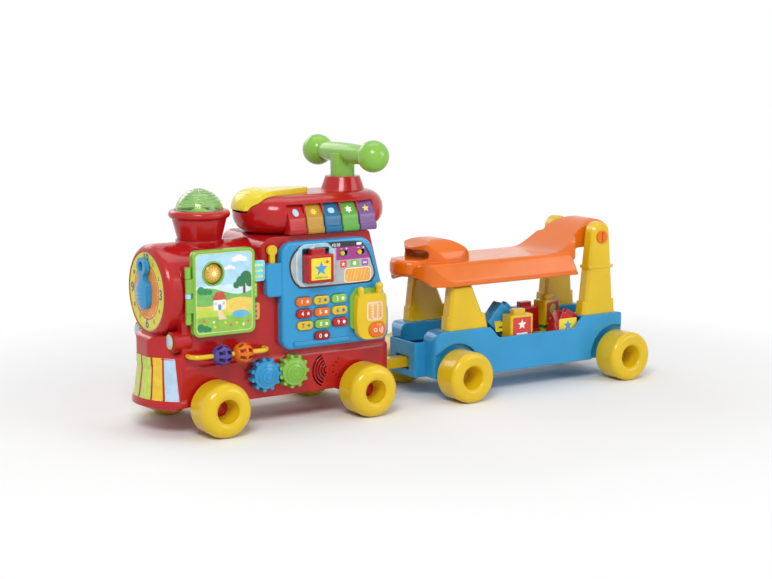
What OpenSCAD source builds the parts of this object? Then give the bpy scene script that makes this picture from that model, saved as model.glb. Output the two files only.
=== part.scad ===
// Ride-on train: an activity engine that tows a sit-on wagon.
// Frame: millimetres, +Z up, floor at z = 0, engine at -X, activity side at -Y.
// The origin is on the floor, at the middle of the whole train. Places along the engine are
// measured back from its front axle, places along the wagon from its own front axle.

/* [Wheels] */
// Outside diameter of every wheel
wheel_d = 82; // [76:1:88]
// Width of a wheel across its faces
wheel_w = 49; // [46:1:54]
// Rounding of an engine wheel's outer shoulder
engine_shoulder = 14; // [10:1:15]
// Rounding of a wagon wheel's outer shoulder
wagon_shoulder = 9; // [7:1:12]
// Rounding of every wheel's inner shoulder
inner_shoulder = 6; // [3:1:8]
// Rounded lip of the hub recess
hub_lip = 7; // [4:0.5:8]
// Mouth of the hub recess
hub_mouth_d = 36; // [32:1:38]
// Floor of the hub recess
hub_floor_d = 27; // [22:1:30]
// Depth of the hub recess
hub_depth = 30; // [24:1:32]
// Diameter of the steel axles
axle_d = 6; // [5:0.5:8]
// How far an axle end goes into its wheel
axle_grip = 14; // [10:1:16]
// Free gap between a wheel and the engine's side
wheel_gap = 4; // [3:0.5:6]
// Diameter of the bosses that carry the axles
axle_boss_d = 22; // [16:1:24]

/* [Engine body] */
// Distance between the engine's axles
engine_wheelbase = 254; // [244:1:270]
// Width of the engine's skirt
engine_w = 132; // [126:1:138]
// Width of the engine's upper body
upper_w = 128; // [122:1:132]
// Thickness of the moulded walls
wall = 3; // [2.5:0.5:4]
// Height of the skirt's lower edge
skirt_bottom = 43; // [40:1:48]
// Height of the skirt's shoulder
skirt_top = 108; // [104:1:114]
// Rounding of the skirt's shoulder
skirt_round = 10; // [4:1:14]
// Rear end of the skirt, behind the rear axle
rear_overhang = 64; // [58:1:70]
// Rounding of the skirt's rear corners
rear_round = 26; // [20:1:30]
// Front lip, ahead of the front axle
front_overhang = 92; // [90:1:98]
// Plan radius of the rounded nose
nose_r = 80; // [74:1:100]
// How far the nose leans back from its foot to its top
nose_lean = 9; // [4:1:14]
// Height of the nose's upper edge
nose_top = 122; // [118:1:124]
// Drop of the nose lip below the skirt
lip_drop = 7; // [3:1:10]
// Height of the nose lip
lip_h = 18; // [12:1:22]
// Diameter of the boiler
boiler_d = 139; // [134:1:142]
// Height of the boiler's centre line
boiler_z = 209; // [205:1:213]
// Front of the boiler, ahead of the front axle
boiler_front = 73; // [70:1:78]
// Rounding of the boiler's front edge
boiler_round = 12; // [6:1:16]
// Diameter of the seat under the chimney
chimney_seat_d = 72; // [68:1:80]
// Front of the cab
cab_front = 84; // [78:1:90]
// Top of the cab, under the roof
cab_top = 284; // [282:1:290]
// Foot of the cab's rear wall
cab_rear = 306; // [300:1:312]
// How far the cab's rear wall leans in at the top
cab_lean = 32; // [20:1:40]
// Height where the rear wall starts to lean
cab_lean_z = 160; // [140:1:180]
// Diameter of the headlight pods
headlight_d = 29; // [24:1:32]
// Sideways place of the headlight pods
headlight_y = 54; // [50:1:58]
// Height of the headlight pods
headlight_z = 141; // [138:1:146]

/* [Chimney] */
// Chimney's place behind the front axle
chimney_x = 16; // [12:1:22]
// Height of the chimney's foot
chimney_z = 281; // [279:1:286]
// Radius of the chimney's neck at its foot
neck_r = 33; // [30:1:36]
// Radius of the neck below the rim
neck_top_r = 41; // [38:1:43]
// Height of the neck
neck_h = 31; // [26:1:36]
// Outer radius of the rim
rim_r = 46; // [44:1:50]
// Height of the rim
rim_h = 13; // [10:1:16]
// Radius of the clear dome
dome_r = 36.5; // [33:0.5:38]
// Depth of the dome's seat in the rim
dome_seat = 6; // [4:0.5:8]
// Number of rings moulded on the dome
dome_rings = 9; // [6:1:12]

/* [Clock] */
// Diameter of the clock dial
dial_d = 118; // [112:1:119]
// Thickness of the clock dial
dial_t = 3; // [2:0.5:4]
// Depth of the dial's seat in the boiler front
dial_seat = 4; // [3:0.5:6]
// Diameter of the hand's shaft
hand_shaft_d = 10; // [8:1:12]
// Width of the hand's grip
grip_w = 34; // [28:1:38]
// Length of the hand's grip
grip_l = 46; // [40:1:50]
// Thickness of the hand's grip
grip_t = 13; // [10:1:15]
// Reach of the hand's loop from the shaft to the loop's centre
loop_reach = 37; // [34:1:40]
// Outer radius of the loop
loop_r = 14; // [12:1:15]
// Radius of the loop's hole
loop_hole_r = 7.5; // [6:0.5:9]

/* [Roof and handle] */
// Front of the roof
roof_front = 80; // [76:1:84]
// Length of the roof
roof_len = 248; // [244:1:252]
// Width of the roof
roof_w = 132; // [128:1:136]
// Height of the roof
roof_h = 58; // [56:1:62]
// Rounding of the roof along its length
roof_round = 27; // [24:0.5:27.5]
// Collar's place behind the front axle
collar_x = 266; // [263:1:268]
// Radius of the collar's foot
collar_r = 36; // [34:1:38]
// Radius of the collar's top
collar_top_r = 27; // [25:1:29]
// Height of the collar above the roof
collar_h = 21; // [18:1:24]
// Length of the handle's post section
post_l = 35; // [32:1:37]
// Width of the handle's post section
post_w = 22; // [20:1:26]
// Depth of the post's socket in the collar
post_socket = 16; // [12:1:20]
// Height of the handle bar's centre line
bar_z = 398; // [394:1:404]
// How far the bar's centre line sits behind the post's
bar_back = 4.5; // [0:0.5:6]
// Radius of the handle bar in the middle
bar_r = 16; // [15:0.5:17]
// Radius of the handle bar at the balls
bar_end_r = 12.5; // [11:0.5:14]
// Radius of the handle's balls
ball_r = 24.5; // [22:0.5:26]
// Distance between the balls' centres
ball_span = 165; // [155:1:175]

/* [Horn button] */
// How far the horn button stands proud of the roof
horn_proud = 3.5; // [3:0.5:5]
// Extra crown of the horn button above the roof
horn_crown = 4; // [2:0.5:6]
// Depth of the horn button's rebate
horn_rebate = 9; // [8:0.5:12]
// Rear tip of the horn button
horn_rear = 198; // [190:1:204]
// Half width of the horn button
horn_half = 36; // [34:1:38]
// Half width of the horn button's rear tip
horn_tip = 11; // [8:1:14]
// Height of the horn button's lower front edge
horn_low = 320; // [318:1:324]
// Press of the horn button
horn_travel = 3; // [2:0.5:3.5]

/* [Piano keys] */
// Middle of the first piano key
piano_x = 144.5; // [140:0.5:150]
// Distance from key to key
piano_pitch = 30.9; // [30:0.1:32]
// Width of a piano key
piano_w = 28; // [26:0.5:28.5]
// Height of a piano key
piano_h = 44; // [40:1:45]
// Height of the keys' lower ends above the cab
piano_lift = 1.3; // [1:0.1:3]
// How far the keys' lips stand out from the roof's side
piano_lip = 8; // [6:0.5:9]
// Depth of the keys inside the roof
piano_depth = 14; // [12:1:16]
// Press of a piano key
piano_travel = 3; // [2:0.5:3.5]

/* [Phone panel] */
// Left edge of the panel
panel_x = 112; // [108:1:116]
// Length of the panel along its foot
panel_l = 189; // [184:1:194]
// Height of the panel's foot
panel_z = 113; // [111:1:118]
// Height of the panel
panel_h = 163; // [156:1:166]
// Depth of the panel from the engine's wall
panel_t = 15; // [13:0.5:17]
// Rounding of the panel's front edge
panel_edge = 4; // [2:0.5:5]
// Middle of the keypad
keypad_x = 178.5; // [177:0.5:180]
// Height of the top row of keypad keys
keypad_z = 185; // [183:1:187]
// Column pitch of the keypad
keypad_dx = 31; // [30:0.5:32]
// Row pitch of the keypad
keypad_dz = 18.2; // [17.6:0.1:19]
// Width of a keypad key
keypad_w = 26; // [24:0.5:27]
// Height of a keypad key
keypad_h = 13; // [12:0.5:14]
// How far the keypad keys stand proud
keypad_proud = 3.5; // [3:0.25:4.5]
// Press of a keypad key
keypad_travel = 1.5; // [1:0.25:2]
// Left edge of the block reader
reader_x = 147; // [145:1:149]
// Height of the block reader's floor
reader_z = 213.5; // [212:0.5:216]
// Depth of the block reader's pocket
reader_depth = 9; // [7:0.5:10]
// Middle of the first slide switch
switch_x = 219.5; // [217:0.5:221]
// Distance between the two slide switches
switch_dx = 30.5; // [28:0.5:32]
// Height of the slide switches
switch_z = 253.5; // [252:0.5:255]
// Travel of a slide switch
switch_travel = 7; // [5:0.5:8]
// Left edge of the lever's holster
holster_x = 88; // [86:1:90]
// Height of the holster's foot
holster_z = 196; // [192:1:200]
// Height of the holster
holster_h = 50; // [46:1:54]
// Press of the lever
lever_travel = 8; // [5:0.5:9]

/* [Blocks] */
// Width of a letter block
block_w = 46; // [44:0.5:46.5]
// Height of a letter block without its stud
block_h = 43; // [42:0.5:44]
// Thickness of a letter block
block_t = 25; // [24:0.5:26]
// Width of a block's stud
stud_w = 24; // [22:0.5:26]
// Height of a block's stud
stud_h = 8; // [7:0.5:9]
// Thickness of a block's stud
stud_t = 13; // [11:0.5:14]

/* [Handset] */
// Left edge of the handset
handset_x = 234; // [233:0.5:235]
// Height of the handset's foot
handset_z = 120; // [119:0.5:122]
// Width of the handset
handset_w = 55; // [52:0.5:56]
// Height of the handset's body
handset_h = 70; // [66:1:72]
// Thickness of the handset
handset_t = 16; // [14:0.5:18]
// Thickness of the handset's cradle
cradle_t = 4; // [3:0.5:5]
// Width of the handset's oval button
talk_w = 30; // [26:0.5:32]
// Height of the handset's oval button
talk_h = 22; // [20:0.5:24]
// Press of the handset's button
talk_travel = 2; // [1:0.25:2.5]

/* [Book] */
// Left edge of the book, ahead of the front axle
book_x = 33.5; // [32:0.5:35]
// Width of the book
book_w = 101; // [96:1:104]
// Height of the book's foot
book_z = 147; // [145:0.5:150]
// Height of the book
book_h = 126.5; // [122:0.5:128]
// Thickness of the book's back board
back_t = 4; // [3:0.5:5]
// Thickness of the book's page
page_t = 2; // [1.5:0.5:3]
// Thickness of the book's cover
cover_t = 5; // [4:0.5:6]
// Play between the boards of the book
board_gap = 0.4; // [0.3:0.1:0.6]
// Diameter of the book's amber lens
lens_d = 29; // [26:0.5:30]
// Lens's place behind the front axle
lens_x = -0.5; // [-2:0.5:1]
// Height of the lens
lens_z = 239; // [236:1:242]
// Radius of the book's hinge knuckles
knuckle_r = 4.2; // [3.8:0.1:4.6]
// Diameter of the hinge pin
hinge_pin_d = 4; // [3:0.5:5]

/* [Bead bar and gears] */
// Diameter of the bead bar
bead_bar_d = 7; // [6:0.5:8]
// Height of the bead bar
bead_bar_z = 119; // [117:1:122]
// Left end of the bead bar, ahead of the front axle
bead_bar_x = 39; // [36:1:42]
// Length of the bead bar between its wall holes
bead_bar_l = 126; // [120:1:130]
// Bend radius of the bead bar
bead_bend = 14; // [12:1:16]
// How far the bead bar stands off the wall
bead_standoff = 20; // [19:0.5:22]
// Radius of the beads
bead_r = 15.5; // [14:0.5:16]
// Number of ribs round a bead
bead_ribs = 8; // [6:1:9]
// Rest place of the first bead
bead_a_x = 7; // [4:0.5:8]
// Distance between the beads at rest
bead_dx = 35; // [34:0.5:37]
// Middle of the first gear
gear_x = 83.5; // [80:0.5:86]
// Height of the gears
gear_z = 80; // [78:0.5:82]
// Distance between the gears' centres
gear_dx = 47.7; // [47:0.1:49]
// Number of teeth on each gear
gear_teeth = 11; // [9:1:12]
// Radius of a gear's rounded teeth
tooth_r = 3.2; // [2.8:0.1:3.4]
// Depth of the meshing teeth below the pitch circle
tooth_sink = 1.2; // [1:0.1:1.8]
// Thickness of a gear
gear_t = 15; // [12:0.5:17]
// Height of a gear's domed face
gear_dome = 5; // [3:0.5:6]
// Diameter of the gears' shafts
gear_post_d = 9; // [7:0.5:11]

/* [Works inside] */
// Diameter of the loudspeaker
speaker_d = 40; // [36:1:40]
// Loudspeaker's place behind the front axle
speaker_x = 198; // [194:1:202]
// Height of the loudspeaker
speaker_z = 73; // [71:1:74]
// Number of sound slots in the grille
grille_slots = 5; // [3:1:5]
// Width of a sound slot
slot_w = 2.4; // [1.6:0.2:3]
// Distance between sound slots
slot_pitch = 5; // [4.4:0.1:5]
// Diameter of a battery cell
cell_d = 14; // [13.5:0.1:14.5]
// Length of a battery cell
cell_l = 50; // [48:0.5:51]
// Number of battery cells
cells = 3; // [2:1:4]
// Thickness of the engine's base plate
base_t = 4; // [3.5:0.5:6]
// Thickness of the battery door
door_t = 2.5; // [2:0.25:3]
// Thickness of the circuit board
board_t = 1.6; // [1.2:0.2:2]

/* [Drawbar] */
// Distance between the drawbar's two pivots
drawbar_l = 100; // [96:1:106]
// Width of the drawbar
drawbar_w = 20; // [18:1:22]
// Height of the drawbar
drawbar_h = 17; // [14:1:18]
// Diameter of the drawbar's pivot posts
drawbar_pin_d = 10; // [8:1:11]
// Front pivot of the drawbar, behind the engine's rear axle
hitch_x = 42; // [38:1:46]

/* [Wagon] */
// Gap between the engine's rear axle and the wagon's front axle
coupled_gap = 183; // [178:1:190]
// Distance between the wagon's axles
wagon_wheelbase = 326; // [316:1:336]
// Width of the wagon's body
wagon_w = 140; // [138:1:144]
// Underside of the wagon's body
wagon_bottom = 34; // [31:1:36]
// Top of the wagon's decks, where the pillars stand
deck_z = 110; // [106:1:114]
// Top of the tray's low sides
tray_z = 91; // [88:1:96]
// Front of the coupling box, ahead of the wagon's front axle
box_front = 59; // [57:1:62]
// Width of the coupling box
box_w = 72; // [66:1:80]
// Rear end of the wagon's body, behind its rear axle
wagon_rear = 22; // [18:1:28]
// Front end of the wagon's fenders, ahead of its front axle
fender_front = 40; // [36:1:44]
// Gap between a wheel and its arch
arch_gap = 7; // [5:0.5:9]
// Start of the low tray side, behind the wagon's front axle
tray_front = 84; // [80:1:88]
// Length of the low tray side
tray_len = 156; // [146:1:166]
// Length of the slopes at both ends of the low side
tray_slope = 17; // [12:1:22]

/* [Pillars] */
// Depth of a pillar across the wagon
pillar_t = 24; // [22:0.5:25]
// Step between the wagon's side and a pillar
pillar_step = 3; // [2:0.5:4]
// Bevel of the pillars' edges
pillar_bevel = 4; // [2:0.5:5]
// Length of the front pillars' plinths
front_plinth_l = 82; // [78:1:86]
// Length of the front pillars' tops
front_top_l = 38; // [34:1:42]
// Front of the front pillars' plinths, ahead of the front axle
front_plinth_x = 16; // [12:1:20]
// Front of the rear pillars' plinths, ahead of the seat's hinge
rear_plinth_x = 38; // [36:1:42]
// Rear end of the rear pillars' plinths, behind the rear axle
rear_plinth_end = 6; // [4:1:10]
// Height of the pillars' plinths
plinth_h = 23; // [18:1:28]
// Top of the front pillars
front_pillar_z = 182; // [178:1:186]
// Height of the seat's hinge
seat_hinge_z = 241; // [237:1:245]
// Seat hinge's place ahead of the wagon's rear axle
seat_hinge_x = 28; // [26:1:31]
// Radius of the rear pillars' rounded tops
pillar_top_r = 19; // [18:0.5:22]
// Diameter of the hinge pins
seat_pin_d = 13; // [11:0.5:14]
// Diameter of the hinge pins' heads
seat_pin_head_d = 21; // [19:0.5:23]

/* [Seat] */
// Width of the seat's rim
seat_w = 146; // [142:1:150]
// Width of the seat's upper face
seat_top_w = 114; // [106:1:118]
// Front of the seat's rim, ahead of the wagon's front axle
rim_front = 64; // [60:1:68]
// Gap between the rim's rear end and the seat's hinge
rim_clear = 54; // [51:1:58]
// Rounding of the rim's front corners, seen from above
rim_round = 62; // [50:1:64]
// Height of the rim's rolled edge
rim_edge = 5; // [4:0.5:7]
// Height of the seat's upper face above the front pillars
seat_rise = 36; // [33:1:38]
// Radius of the handle lip at the seat's front
lip_r = 34; // [30:1:36]
// Front of the handle lip, ahead of the wagon's front axle
lip_front = 77; // [74:1:80]
// Height of the handle lip's underside above the rim
lip_under = 14; // [12:1:16]
// Thickness of the handle lip
lip_t = 27; // [24:1:28]
// Height of the hand opening above the lip
mouth_h = 15; // [13:0.5:17]
// Width of the seat's front hump
hump_w = 92; // [86:1:98]
// Length of the seat's front hump
hump_l = 108; // [100:1:112]
// Height of the front hump above the seat's upper face
hump_h = 36; // [34:1:38]
// Width of the seat between the rear pillars
neck_w = 84; // [80:0.5:84.5]
// Radius of the seat's hinge barrel
barrel_r = 19; // [17:0.5:20]
// Height of the backrest's crest above the seat's upper face
crest_h = 50; // [46:1:52]
// Rounding of the backrest's upper corners, seen from the front
crest_dome = 42; // [36:1:46]
// Start of the backrest's slope, ahead of the hinge
slope_l = 96; // [90:1:106]
// Rear end of the backrest, behind the hinge
back_end = 33; // [30:1:36]
// Wall of the hollow seat
seat_wall = 4; // [3:0.5:5]

/* [Fits] */
// Radial play of a turning shaft in its hole
run_fit = 0.06; // [0.03:0.01:0.1]
// Play at each side of a piece that slides in its hole
slide_fit = 0.35; // [0.25:0.05:0.5]
// Play round a piece that is fixed in its seat
seat_fit = 0.15; // [0.1:0.05:0.3]

/* [Hidden] */
$fn = 64;
eps = 0.01;
PIANO = ["red", "amber", "blue", "green", "purple"];
PIANO_COLORS = ["firebrick", "goldenrod", "steelblue", "limegreen", "mediumpurple"];
KEY_COLORS = ["firebrick", "darkorange", "gold", "limegreen", "firebrick",
       "darkorange", "gold", "gold", "limegreen", "firebrick"];

// Places along the train
train_l = front_overhang + engine_wheelbase + coupled_gap + wagon_wheelbase + wheel_d / 2;
engine_x = front_overhang - train_l / 2;
wagon_x = engine_x + engine_wheelbase + coupled_gap;
axle_z = wheel_d / 2;
wheel_in_y = engine_w / 2 + wheel_gap;
engine_rear = engine_wheelbase + rear_overhang;
wall_y = -upper_w / 2;
// Where the boiler's flanks turn flat to carry the book
flank_x = book_x + 13;
// Where the skirt joins the nose
skirt_front = 46;

// Places on the activity side
panel_y = wall_y - panel_t;
page_y = wall_y - back_t - board_gap;
cover_y = page_y - page_t - board_gap;
book_face_y = cover_y - cover_t;
hinge_x = -book_x - knuckle_r - 2.3;
hinge_y = cover_y - 0.6;
roof_z = cab_top;
collar_z = roof_z + roof_h;
cradle_y = panel_y - cradle_t;
handset_y = cradle_y - seat_fit;
dome_z = chimney_z + neck_h + rim_h - dome_seat;

// Places on the wagon
arch_r = wheel_d / 2 + arch_gap;
pillar_out_y = wagon_w / 2 - pillar_step;
pillar_in_y = pillar_out_y - pillar_t;
seat_hinge_at = wagon_wheelbase - seat_hinge_x;
seat_z = front_pillar_z + seat_fit;
seat_top = seat_z + seat_rise;
hitch_at = engine_wheelbase + hitch_x;
base_top = skirt_bottom + base_t;
tow_at = hitch_at + drawbar_l - engine_wheelbase - coupled_gap;

// Rounded outline: each corner of pts becomes an arc of its own radius
function corner_arc(p, q, s, r, n = 8) =
  let (u = (p - q) / norm(p - q),
     v = (s - q) / norm(s - q),
     a = acos(u * v),
     c = q + (u + v) / norm(u + v) * r / sin(a / 2),
     d0 = q + u * r / tan(a / 2) - c,
     d1 = q + v * r / tan(a / 2) - c,
     a0 = atan2(d0.y, d0.x),
     turn = atan2(d1.y, d1.x) - a0,
     sweep = turn > 180 ? turn - 360 : turn < -180 ? turn + 360 : turn)
  [for (i = [0:n]) c + r * [cos(a0 + sweep * i / n), sin(a0 + sweep * i / n)]];
function rounded(pts, radii) =
  [for (i = [0:len(pts) - 1])
    each radii[i] == 0 ? [pts[i]]
      : corner_arc(pts[(i + len(pts) - 1) % len(pts)], pts[i], pts[(i + 1) % len(pts)], radii[i])];

// Box between two corners
module block(a, b) {
  translate(a) cube(b - a);
}

// Flat shape in XZ, extruded from y0 to y1
module side_extrude(y0, y1) {
  translate([0, y1, 0]) rotate([90, 0, 0]) linear_extrude(y1 - y0) children();
}

// Flat shape in YZ, extruded from x0 to x1
module front_extrude(x0, x1) {
  translate([x0, 0, 0]) rotate([90, 0, 90]) linear_extrude(x1 - x0) children();
}

// Round bar along Y
module rod_y(x, z, d, y0, y1) {
  translate([x, y0, z]) rotate([-90, 0, 0]) cylinder(d = d, h = y1 - y0);
}

// Round bar along X
module rod_x(y, z, d, x0, x1) {
  translate([x0, y, z]) rotate([0, 90, 0]) cylinder(d = d, h = x1 - x0);
}

module rounded_rect(w, h, r) {
  square([w - 2 * r, h], center = true);
  square([w, h - 2 * r], center = true);
  for (sx = [-1, 1], sy = [-1, 1])
    translate([sx * (w / 2 - r), sy * (h / 2 - r)]) circle(r);
}

// Box about its centre, rounded along x (rx), along y (ry) and along z (rz)
module soft_box(size, rx, ry, rz) {
  intersection() {
    front_extrude(-size.x, size.x) rounded_rect(size.y, size.z, rx);
    side_extrude(-size.y, size.y) rounded_rect(size.x, size.z, ry);
    translate([0, 0, -size.z]) linear_extrude(2 * size.z) rounded_rect(size.x, size.y, rz);
  }
}

// Upright section: square foot, rounded shoulders
module shoulder_section(w, z0, z1, r) {
  translate([-w / 2, z0]) square([w, z1 - z0 - r]);
  translate([-w / 2 + r, z0]) square([w - 2 * r, z1 - z0]);
  for (s = [-1, 1]) translate([s * (w / 2 - r), z1 - r]) circle(r);
}

module at_engine() {
  translate([engine_x, 0, 0]) children();
}

module at_wagon() {
  translate([wagon_x, 0, 0]) children();
}

// Wheels: thick rings with a deep hub recess, pressed on turning axles
module wheel_profile(shoulder) {
  r = wheel_d / 2;
  m = hub_mouth_d / 2;
  difference() {
    union() {
      translate([0, inner_shoulder]) square([r, wheel_w - inner_shoulder - shoulder]);
      square([r - inner_shoulder, inner_shoulder + 1]);
      translate([r - inner_shoulder, inner_shoulder]) circle(inner_shoulder);
      translate([r - shoulder, wheel_w - shoulder]) circle(shoulder);
      translate([m + hub_lip, wheel_w - hub_lip]) circle(hub_lip);
      translate([m + hub_lip, wheel_w - shoulder - 1]) square([r - shoulder - m - hub_lip, shoulder + 1]);
      translate([0, wheel_w - shoulder - 1]) square([m + hub_lip, max(shoulder + 1 - hub_lip, 1)]);
    }
    polygon([[0, wheel_w - hub_depth], [hub_floor_d / 2, wheel_w - hub_depth], [m, wheel_w - hub_lip],
         [m, wheel_w + 1], [0, wheel_w + 1]]);
    translate([-1, -1]) square([1 + axle_d / 2 + run_fit / 3, 1 + axle_grip]);
  }
}

module wheel_pair(x, shoulder) {
  color("gold") for (s = [-1, 1])
    translate([x, s * wheel_in_y, axle_z]) rotate([-90 * s, 0, 0])
      rotate_extrude() wheel_profile(shoulder);
}

module axle(x) {
  end_y = wheel_in_y + axle_grip - seat_fit;
  color("silver") rod_y(x, axle_z, axle_d, -end_y, end_y);
}

// Engine: hollow red body, built from the same form twice, outside and inside
module nose_slice(z, lean, grow) {
  half = engine_w / 2 + grow;
  translate([0, 0, z]) linear_extrude(eps) intersection() {
    translate([-front_overhang + 3 + lean + nose_r - grow, 0]) circle(nose_r, $fn = 72);
    translate([-front_overhang - 10, -half]) square([front_overhang - 30, 2 * half]);
  }
}

module nose(inset) {
  hull() {
    nose_slice(skirt_bottom, 0, -inset);
    nose_slice(nose_top - 8 - inset, nose_lean, -inset - 1);
    nose_slice(nose_top - inset, nose_lean + 3, -inset - 5);
  }
}

module nose_lip() {
  z0 = skirt_bottom - lip_drop;
  hull() {
    nose_slice(z0, 6, -5);
    nose_slice(z0 + lip_h * 0.35, 0, 2.9);
    nose_slice(z0 + lip_h * 0.7, 0, 2.6);
    nose_slice(z0 + lip_h, 1, 0);
  }
}

module boiler_profile(inset) {
  r = boiler_d / 2 - inset;
  front = boiler_front - inset;
  translate([0, -cab_front - 10]) square([r, cab_front + 10 + front - boiler_round]);
  square([r - boiler_round, front]);
  translate([r - boiler_round, front - boiler_round]) circle(boiler_round);
}

module engine_form(inset) {
  half = upper_w / 2 - inset;
  intersection() {
    front_extrude(-skirt_front + inset, engine_rear)
      shoulder_section(engine_w - 2 * inset, 0, skirt_top - inset, skirt_round);
    linear_extrude(skirt_top) polygon(rounded(
      [[-skirt_front, -engine_w / 2], [engine_rear - inset, -engine_w / 2],
       [engine_rear - inset, engine_w / 2], [-skirt_front, engine_w / 2]],
      [0, rear_round, rear_round, 0]));
    side_extrude(-engine_w, engine_w) polygon(rounded([[-skirt_front, 0], [engine_rear - inset, 0],
      [engine_rear - inset, skirt_top - inset], [-skirt_front, skirt_top - inset]],
      [0, 0, rear_round - 4, 0]));
  }
  nose(inset);
  intersection() {
    translate([0, 0, boiler_z]) rotate([0, -90, 0]) rotate_extrude() boiler_profile(inset);
    union() {
      block([-boiler_front - 1, -boiler_d, 0], [-flank_x - inset, boiler_d, cab_top + 20]);
      block([-boiler_front - 1, -half, 0], [cab_front + 10, half, cab_top + 20]);
    }
  }
  block([-boiler_front + 26 + inset, -half, skirt_top - 20], [cab_front + 10, half, boiler_z]);
  block([-flank_x + inset, -half, boiler_z - 5], [cab_front + 10, half, boiler_z + 40]);
  intersection() {
    side_extrude(-half, half) polygon(rounded([[cab_front + inset, skirt_top - 20],
      [cab_rear - inset, skirt_top - 20], [cab_rear - inset, cab_lean_z],
      [cab_rear - cab_lean - inset, cab_top - inset], [cab_front + inset, cab_top - inset]],
      [0, 0, 40, 6, 22]));
    linear_extrude(cab_top) polygon(rounded([[cab_front + inset, -half], [cab_rear - inset, -half],
      [cab_rear - inset, half], [cab_front + inset, half]], [9, 5, 5, 9]));
  }
}

module headlight_pods() {
  for (s = [-1, 1]) {
    rod_x(s * headlight_y, headlight_z, headlight_d, -boiler_front + 12, -boiler_front + 40);
    rod_x(s * headlight_y, headlight_z, headlight_d - 6, -boiler_front + 10, -boiler_front + 14);
  }
}

module prow() {
  foot = skirt_top - 4;
  top = boiler_z - dial_d / 2 - 2;
  chin = -boiler_front - 9;
  rear = -boiler_front + 45;
  intersection() {
    linear_extrude(top) polygon(rounded([[rear, -headlight_y], [chin + 21, -headlight_y + 6], [chin, -20],
      [chin, 20], [chin + 21, headlight_y - 6], [rear, headlight_y]], [0, 8, 14, 14, 8, 0]));
    side_extrude(-headlight_y, headlight_y) polygon(rounded([[rear, foot], [chin, foot], [chin, top - 4],
      [rear, top + 8]], [0, 0, 10, 0]));
  }
}

module grille_cut() {
  translate([speaker_x, -engine_w / 2, speaker_z]) rotate([90, 0, 0]) {
    for (i = [1:grille_slots])
      rotate([0, 0, 115]) translate([0, 0, -wall - 1]) rotate_extrude(angle = 130)
        translate([slot_pitch * i, 0]) square([slot_w, wall + 3]);
    for (i = [2:4], j = [-1, 1])
      translate([slot_pitch * i, j * slot_pitch * (i - 1), -wall - 1]) cylinder(d = slot_w, h = wall + 3);
  }
}

module engine_shell() {
  color("firebrick") at_engine() difference() {
    union() {
      engine_form(0);
      nose_lip();
      headlight_pods();
      prow();
      translate([chimney_x, 0, boiler_z]) cylinder(d = chimney_seat_d, h = chimney_z - boiler_z);
    }
    engine_form(wall);
    translate([chimney_x, 0, boiler_z])
      cylinder(d = chimney_seat_d - 2 * wall, h = chimney_z - boiler_z - wall);
    // Holes for the gears' shafts
    for (i = [0, 1]) rod_y(gear_x + i * gear_dx, gear_z, gear_post_d + 2 * run_fit,
      -engine_w / 2 - 1, -engine_w / 2 + wall + 1);
    // Open underside
    block([-boiler_front + 22, -engine_w / 2 + wall, -1],
      [engine_rear - wall, engine_w / 2 - wall, skirt_bottom + 8]);
    block([-200, -engine_w, -20], [engine_rear + 1, engine_w, skirt_bottom - lip_drop]);
    block([-56, -engine_w, -20], [engine_rear + 1, engine_w, skirt_bottom]);
    // Notches for the axle bosses
    for (x = [0, engine_wheelbase], s = [-1, 1]) {
      rod_y(x, axle_z, axle_boss_d + 2 * seat_fit, s * engine_w / 2 - 8, s * engine_w / 2 + 8);
      block([x - axle_boss_d / 2 - seat_fit, s * engine_w / 2 - 8, -1],
         [x + axle_boss_d / 2 + seat_fit, s * engine_w / 2 + 8, axle_z]);
    }
    // Slot for the drawbar
    block([engine_rear - 40, -drawbar_w / 2 - 12, -1],
      [engine_rear + 1, drawbar_w / 2 + 12, base_top + drawbar_h + 2]);
    // Seat and shaft hole of the clock
    translate([-boiler_front, 0, boiler_z]) rotate([0, 90, 0])
      cylinder(d = dial_d + 2 * seat_fit, h = dial_seat);
    rod_x(0, boiler_z, hand_shaft_d + 2, -boiler_front - 1, -boiler_front + 20);
    // Window behind the phone panel
    block([panel_x + 16, wall_y - 1, panel_z + 12],
      [panel_x + panel_l - 44, wall_y + wall + 1, panel_z + panel_h - 24]);
    // Holes for the bead bar
    for (x = [-bead_bar_x, bead_bar_l - bead_bar_x])
      rod_y(x, bead_bar_z, bead_bar_d + 2 * seat_fit, wall_y - 6, wall_y + wall + 1);
    grille_cut();
  }
}

module engine_base() {
  half = engine_w / 2 - wall - seat_fit;
  plate_x0 = -48;
  plate_x1 = engine_rear - wall - seat_fit;
  color("firebrick") at_engine() difference() {
    union() {
      translate([(plate_x0 + plate_x1) / 2, 0, skirt_bottom]) linear_extrude(base_t)
        rounded_rect(plate_x1 - plate_x0, 2 * half, 24);
      for (x = [0, engine_wheelbase]) {
        block([x - 13, -half, axle_z - 11], [x + 13, half, axle_z + 13]);
        rod_y(x, axle_z, axle_boss_d, -wheel_in_y + seat_fit * 2, wheel_in_y - seat_fit * 2);
      }
      block(battery_corner(-1) - [2.5, 2.5, 0], battery_corner(1) + [2.5, 2.5, 2.5]);
      translate([hitch_at, 0, base_top - 1]) cylinder(d = drawbar_pin_d, h = drawbar_h + 2);
    }
    block(battery_corner(-1) - [0, 0, 10], battery_corner(1));
    block(door_corner(-1) - [seat_fit, seat_fit, 1], door_corner(1) + [seat_fit, seat_fit, 0]);
    for (x = [0, engine_wheelbase])
      rod_y(x, axle_z, axle_d + 2 * run_fit, -wheel_in_y, wheel_in_y);
  }
}

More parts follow.
